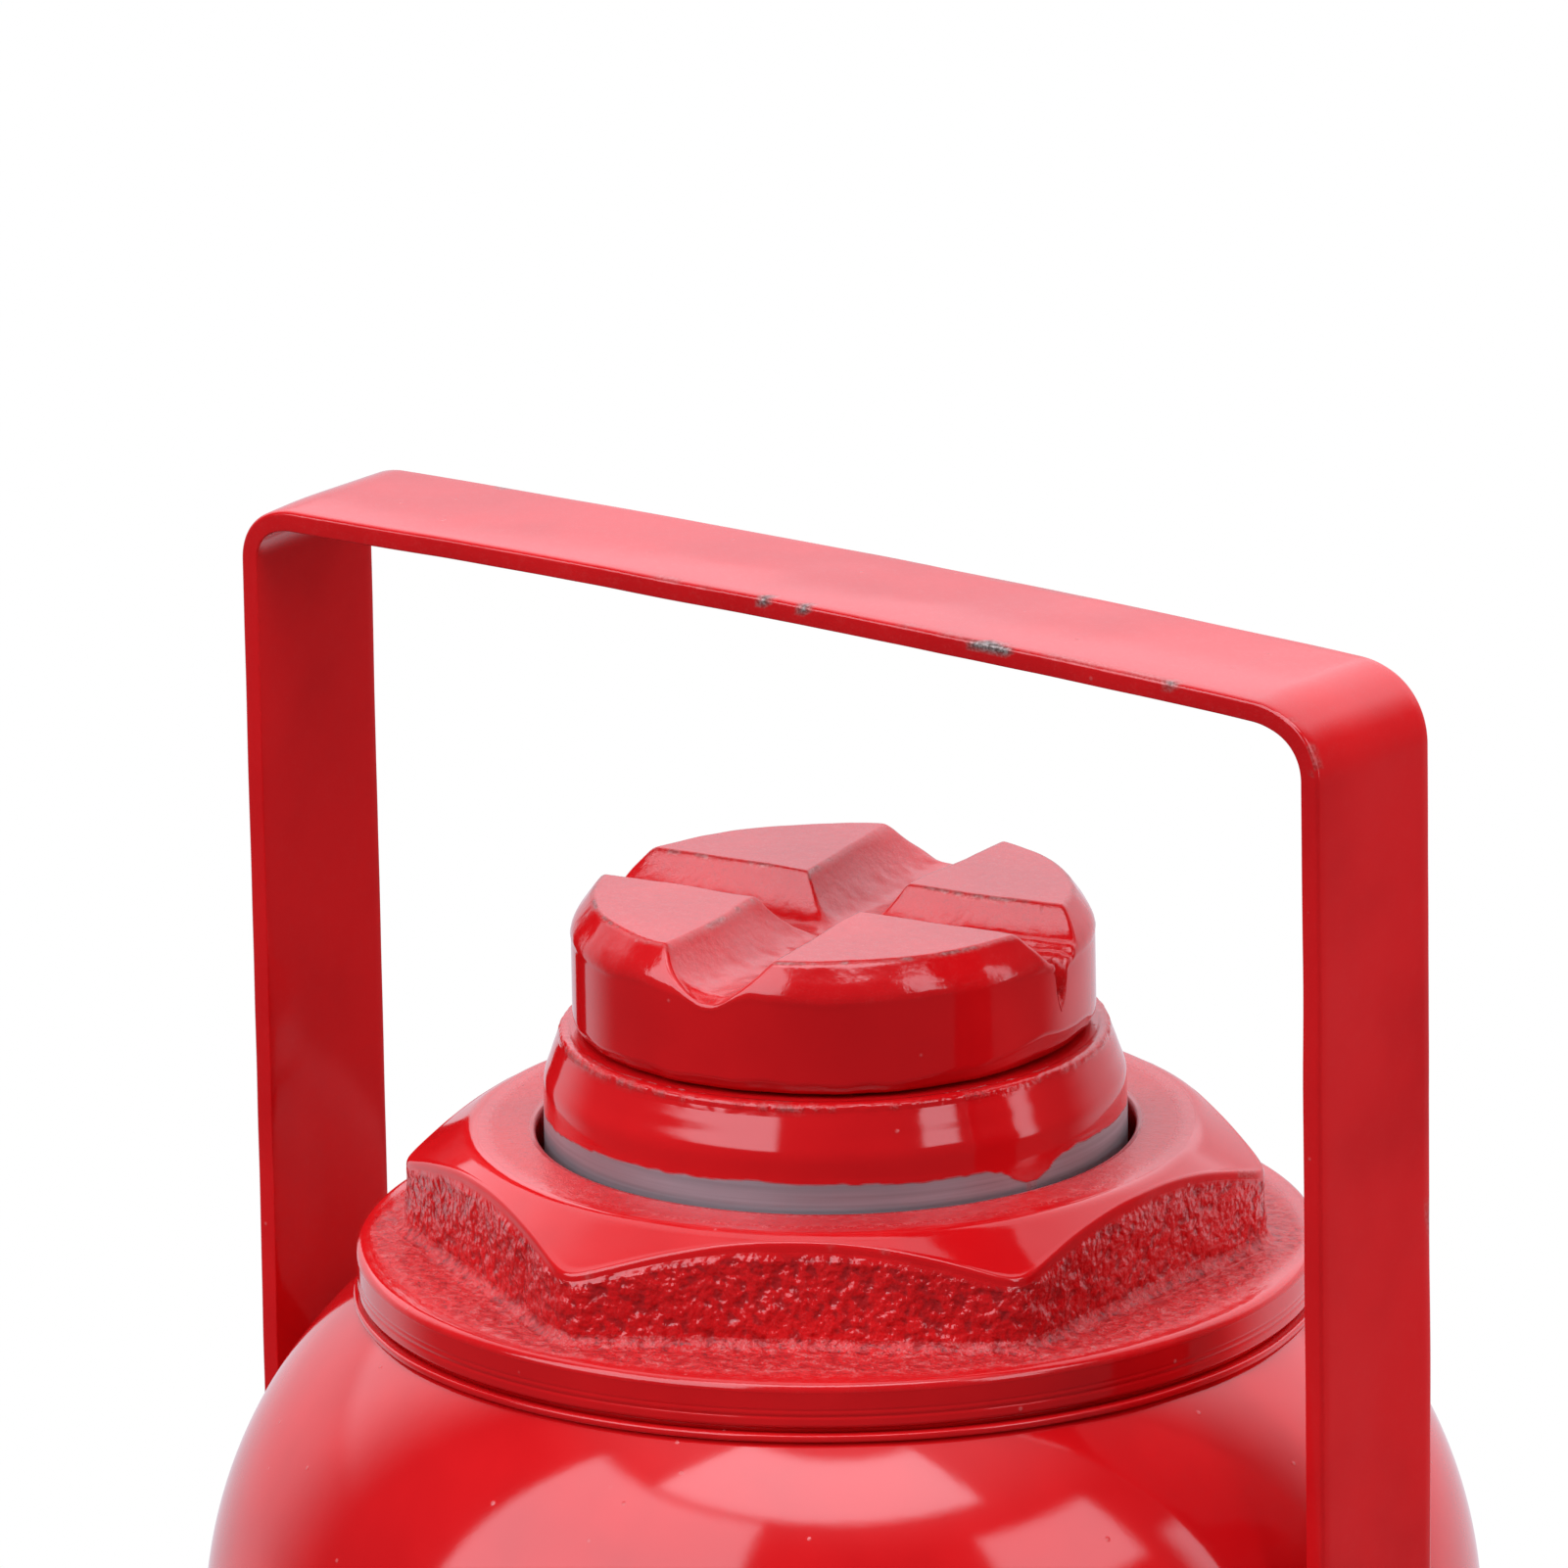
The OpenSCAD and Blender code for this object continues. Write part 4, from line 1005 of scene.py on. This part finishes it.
studio = {
    "white": 1.0,
    "front": 0.10,
    "backdrop": 1.0,
    "overhead": 0.75,
    "panel": 3.9,
    "tint": (0.96, 0.97, 1.07),
    "diffuseShare": 0.98,
    "fill": 0.45,
    "card": {"size": (0.16, 0.30), "heading": 82, "distance": 0.36, "height": 0.27, "aimAside": 0.08},
    "floorRadius": 0.62,
}


def buildFloor(look):
    radius = look["floorRadius"]
    steps = 96
    a = np.arange(steps) * 2 * math.pi / steps
    x, y, drop = np.cos(a), np.sin(a), 0 * a - 0.0002
    rows = [np.stack([r * x, r * y, drop], -1) for r in np.linspace(0.01, radius, 12)]
    grid = np.array(rows)
    faces = gridFaces(len(rows), steps)
    faces.append(list(range(steps))[::-1])
    sheet = newFinish("pale_floor")
    place = sheet.add("ShaderNodeTexCoord", out="Object")
    reach = sheet.add("ShaderNodeVectorMath", {"operation": "LENGTH"}, {0: place}, out="Value")
    speckle = sheet.cloud(place, 40, 3)
    colour = sheet.blend(speckle, (0.74, 0.74, 0.74), (0.78, 0.78, 0.78))
    shader = sheet.add("ShaderNodeBsdfPrincipled", None, {"Base Color": colour, "Roughness": 0.7})
    clear = sheet.add("ShaderNodeBsdfTransparent")
    fade = sheet.ease(reach, radius * 0.45, radius * 0.98)
    mixed = sheet.add("ShaderNodeMixShader", None, [fade, shader, clear])
    sheet.add("ShaderNodeOutputMaterial", None, {"Surface": mixed})
    floor = newPiece("paleFloor", grid.reshape(-1, 3), faces, "pale_floor")
    floor.visible_glossy = False
    floor.visible_diffuse = False


def buildSky(look):
    world = bpy.data.worlds.new("studio")
    world.use_nodes = True
    sheet = Sheet(world.node_tree)
    way = sheet.add("ShaderNodeTexCoord", out="Generated")

    def along(direction):
        ends = [way, tuple(direction)]
        return sheet.add("ShaderNodeVectorMath", {"operation": "DOT_PRODUCT"}, ends, out="Value")

    heading = sheet.add("ShaderNodeMath", {"operation": "ARCTAN2"}, [along(rightHand), along(towardCamera)])
    height = sheet.add("ShaderNodeMath", {"operation": "ARCSINE"}, [along((0, 0, 1))])

    def span(value, low, high, soft):
        low, high, soft = (math.radians(v) for v in (low, high, soft))
        return sheet.ease(value, low - soft, low + soft) * (1 - sheet.ease(value, high - soft, high + soft))

    def panel(h0, h1, e0, e1, strength, soft=1.6):
        return span(heading, h0, h1, soft) * span(height, e0, e1, soft) * strength

    away = sheet.add("ShaderNodeMath", {"operation": "ABSOLUTE"}, [heading + math.radians(4.5)])
    behind = sheet.ease(away, math.radians(106), math.radians(132))
    rising = sheet.ease(height, math.radians(-2), math.radians(14)) * 0.22 + 0.70
    rising = rising + sheet.ease(height, math.radians(15.5), math.radians(20.5)) * 0.75
    falling = 1 - sheet.ease(height, math.radians(38), math.radians(70)) * 0.6
    sky = behind * rising * falling * look["backdrop"]
    sky = sky + look["front"] + sheet.ease(height, math.radians(48), math.radians(75)) * look["overhead"]
    left = panel(-86, -24, 16, 58.3, look["panel"])
    top = panel(-62, 44, 59.7, 77, look["panel"] * 1.25)
    right = panel(35, 50, 15, 51, look["panel"] * 0.9) + panel(50, 68, 34, 51, look["panel"] * 0.9)
    strip = panel(75, 84, -6, 36, look["panel"] * 0.7, 2.5)
    lights = left + top + right + strip
    rays = sheet.add("ShaderNodeLightPath")
    glossy = rays.port("Is Glossy Ray")
    share = glossy * (1 - look["diffuseShare"]) + look["diffuseShare"]
    shine = sheet.add("ShaderNodeBackground", None,
                      {"Color": (*look["tint"], 1), "Strength": (sky + lights) * share})
    white = sheet.add("ShaderNodeBackground", None, {"Color": (1, 1, 1, 1), "Strength": look["white"]})
    mixed = sheet.add("ShaderNodeMixShader", None, [rays.port("Is Camera Ray"), shine, white])
    sheet.add("ShaderNodeOutputWorld", None, {"Surface": mixed})
    bpy.context.scene.world = world


def buildFill(look):
    # a card beside the jack: it lights the paint but isn't seen in it
    shape = look["card"]
    data = bpy.data.lights.new("card", "AREA")
    data.shape = "RECTANGLE"
    data.size, data.size_y = shape["size"]
    data.energy = look["fill"]
    card = bpy.data.objects.new("card", data)
    a = facing + math.radians(shape["heading"])
    far, high = shape["distance"], shape["height"]
    place = Vector((far * math.cos(a), far * math.sin(a), high))
    toJack = (place - Vector((shape["aimAside"], 0, high))).to_track_quat("Z", "Y").to_matrix().to_4x4()
    card.matrix_world = Matrix.Translation(place) @ toJack
    card.visible_glossy = False
    card.visible_camera = False
    bpy.context.scene.collection.objects.link(card)


def buildCamera(look):
    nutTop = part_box("top_nut")[1][2]
    aim = Vector((0, 0, nutTop + look["aimAbove"])) + rightHand * look["aimAside"]
    across = rightHand * math.cos(roll) + upward * math.sin(roll)
    above = upward * math.cos(roll) - rightHand * math.sin(roll)
    data = bpy.data.cameras.new("camera")
    data.lens = look["lens"]
    data.sensor_width = 36
    data.clip_start = 0.05
    data.clip_end = 50
    camera = bpy.data.objects.new("camera", data)
    matrix = Matrix((across, above, backward)).transposed().to_4x4()
    matrix.translation = aim + backward * look["distance"]
    camera.matrix_world = matrix
    bpy.context.scene.collection.objects.link(camera)
    bpy.context.scene.camera = camera


buildFloor(studio)
buildSky(studio)
buildFill(studio)
buildCamera(view)
bpy.context.scene.view_settings.view_transform = "Standard"
print("studio and camera ready")
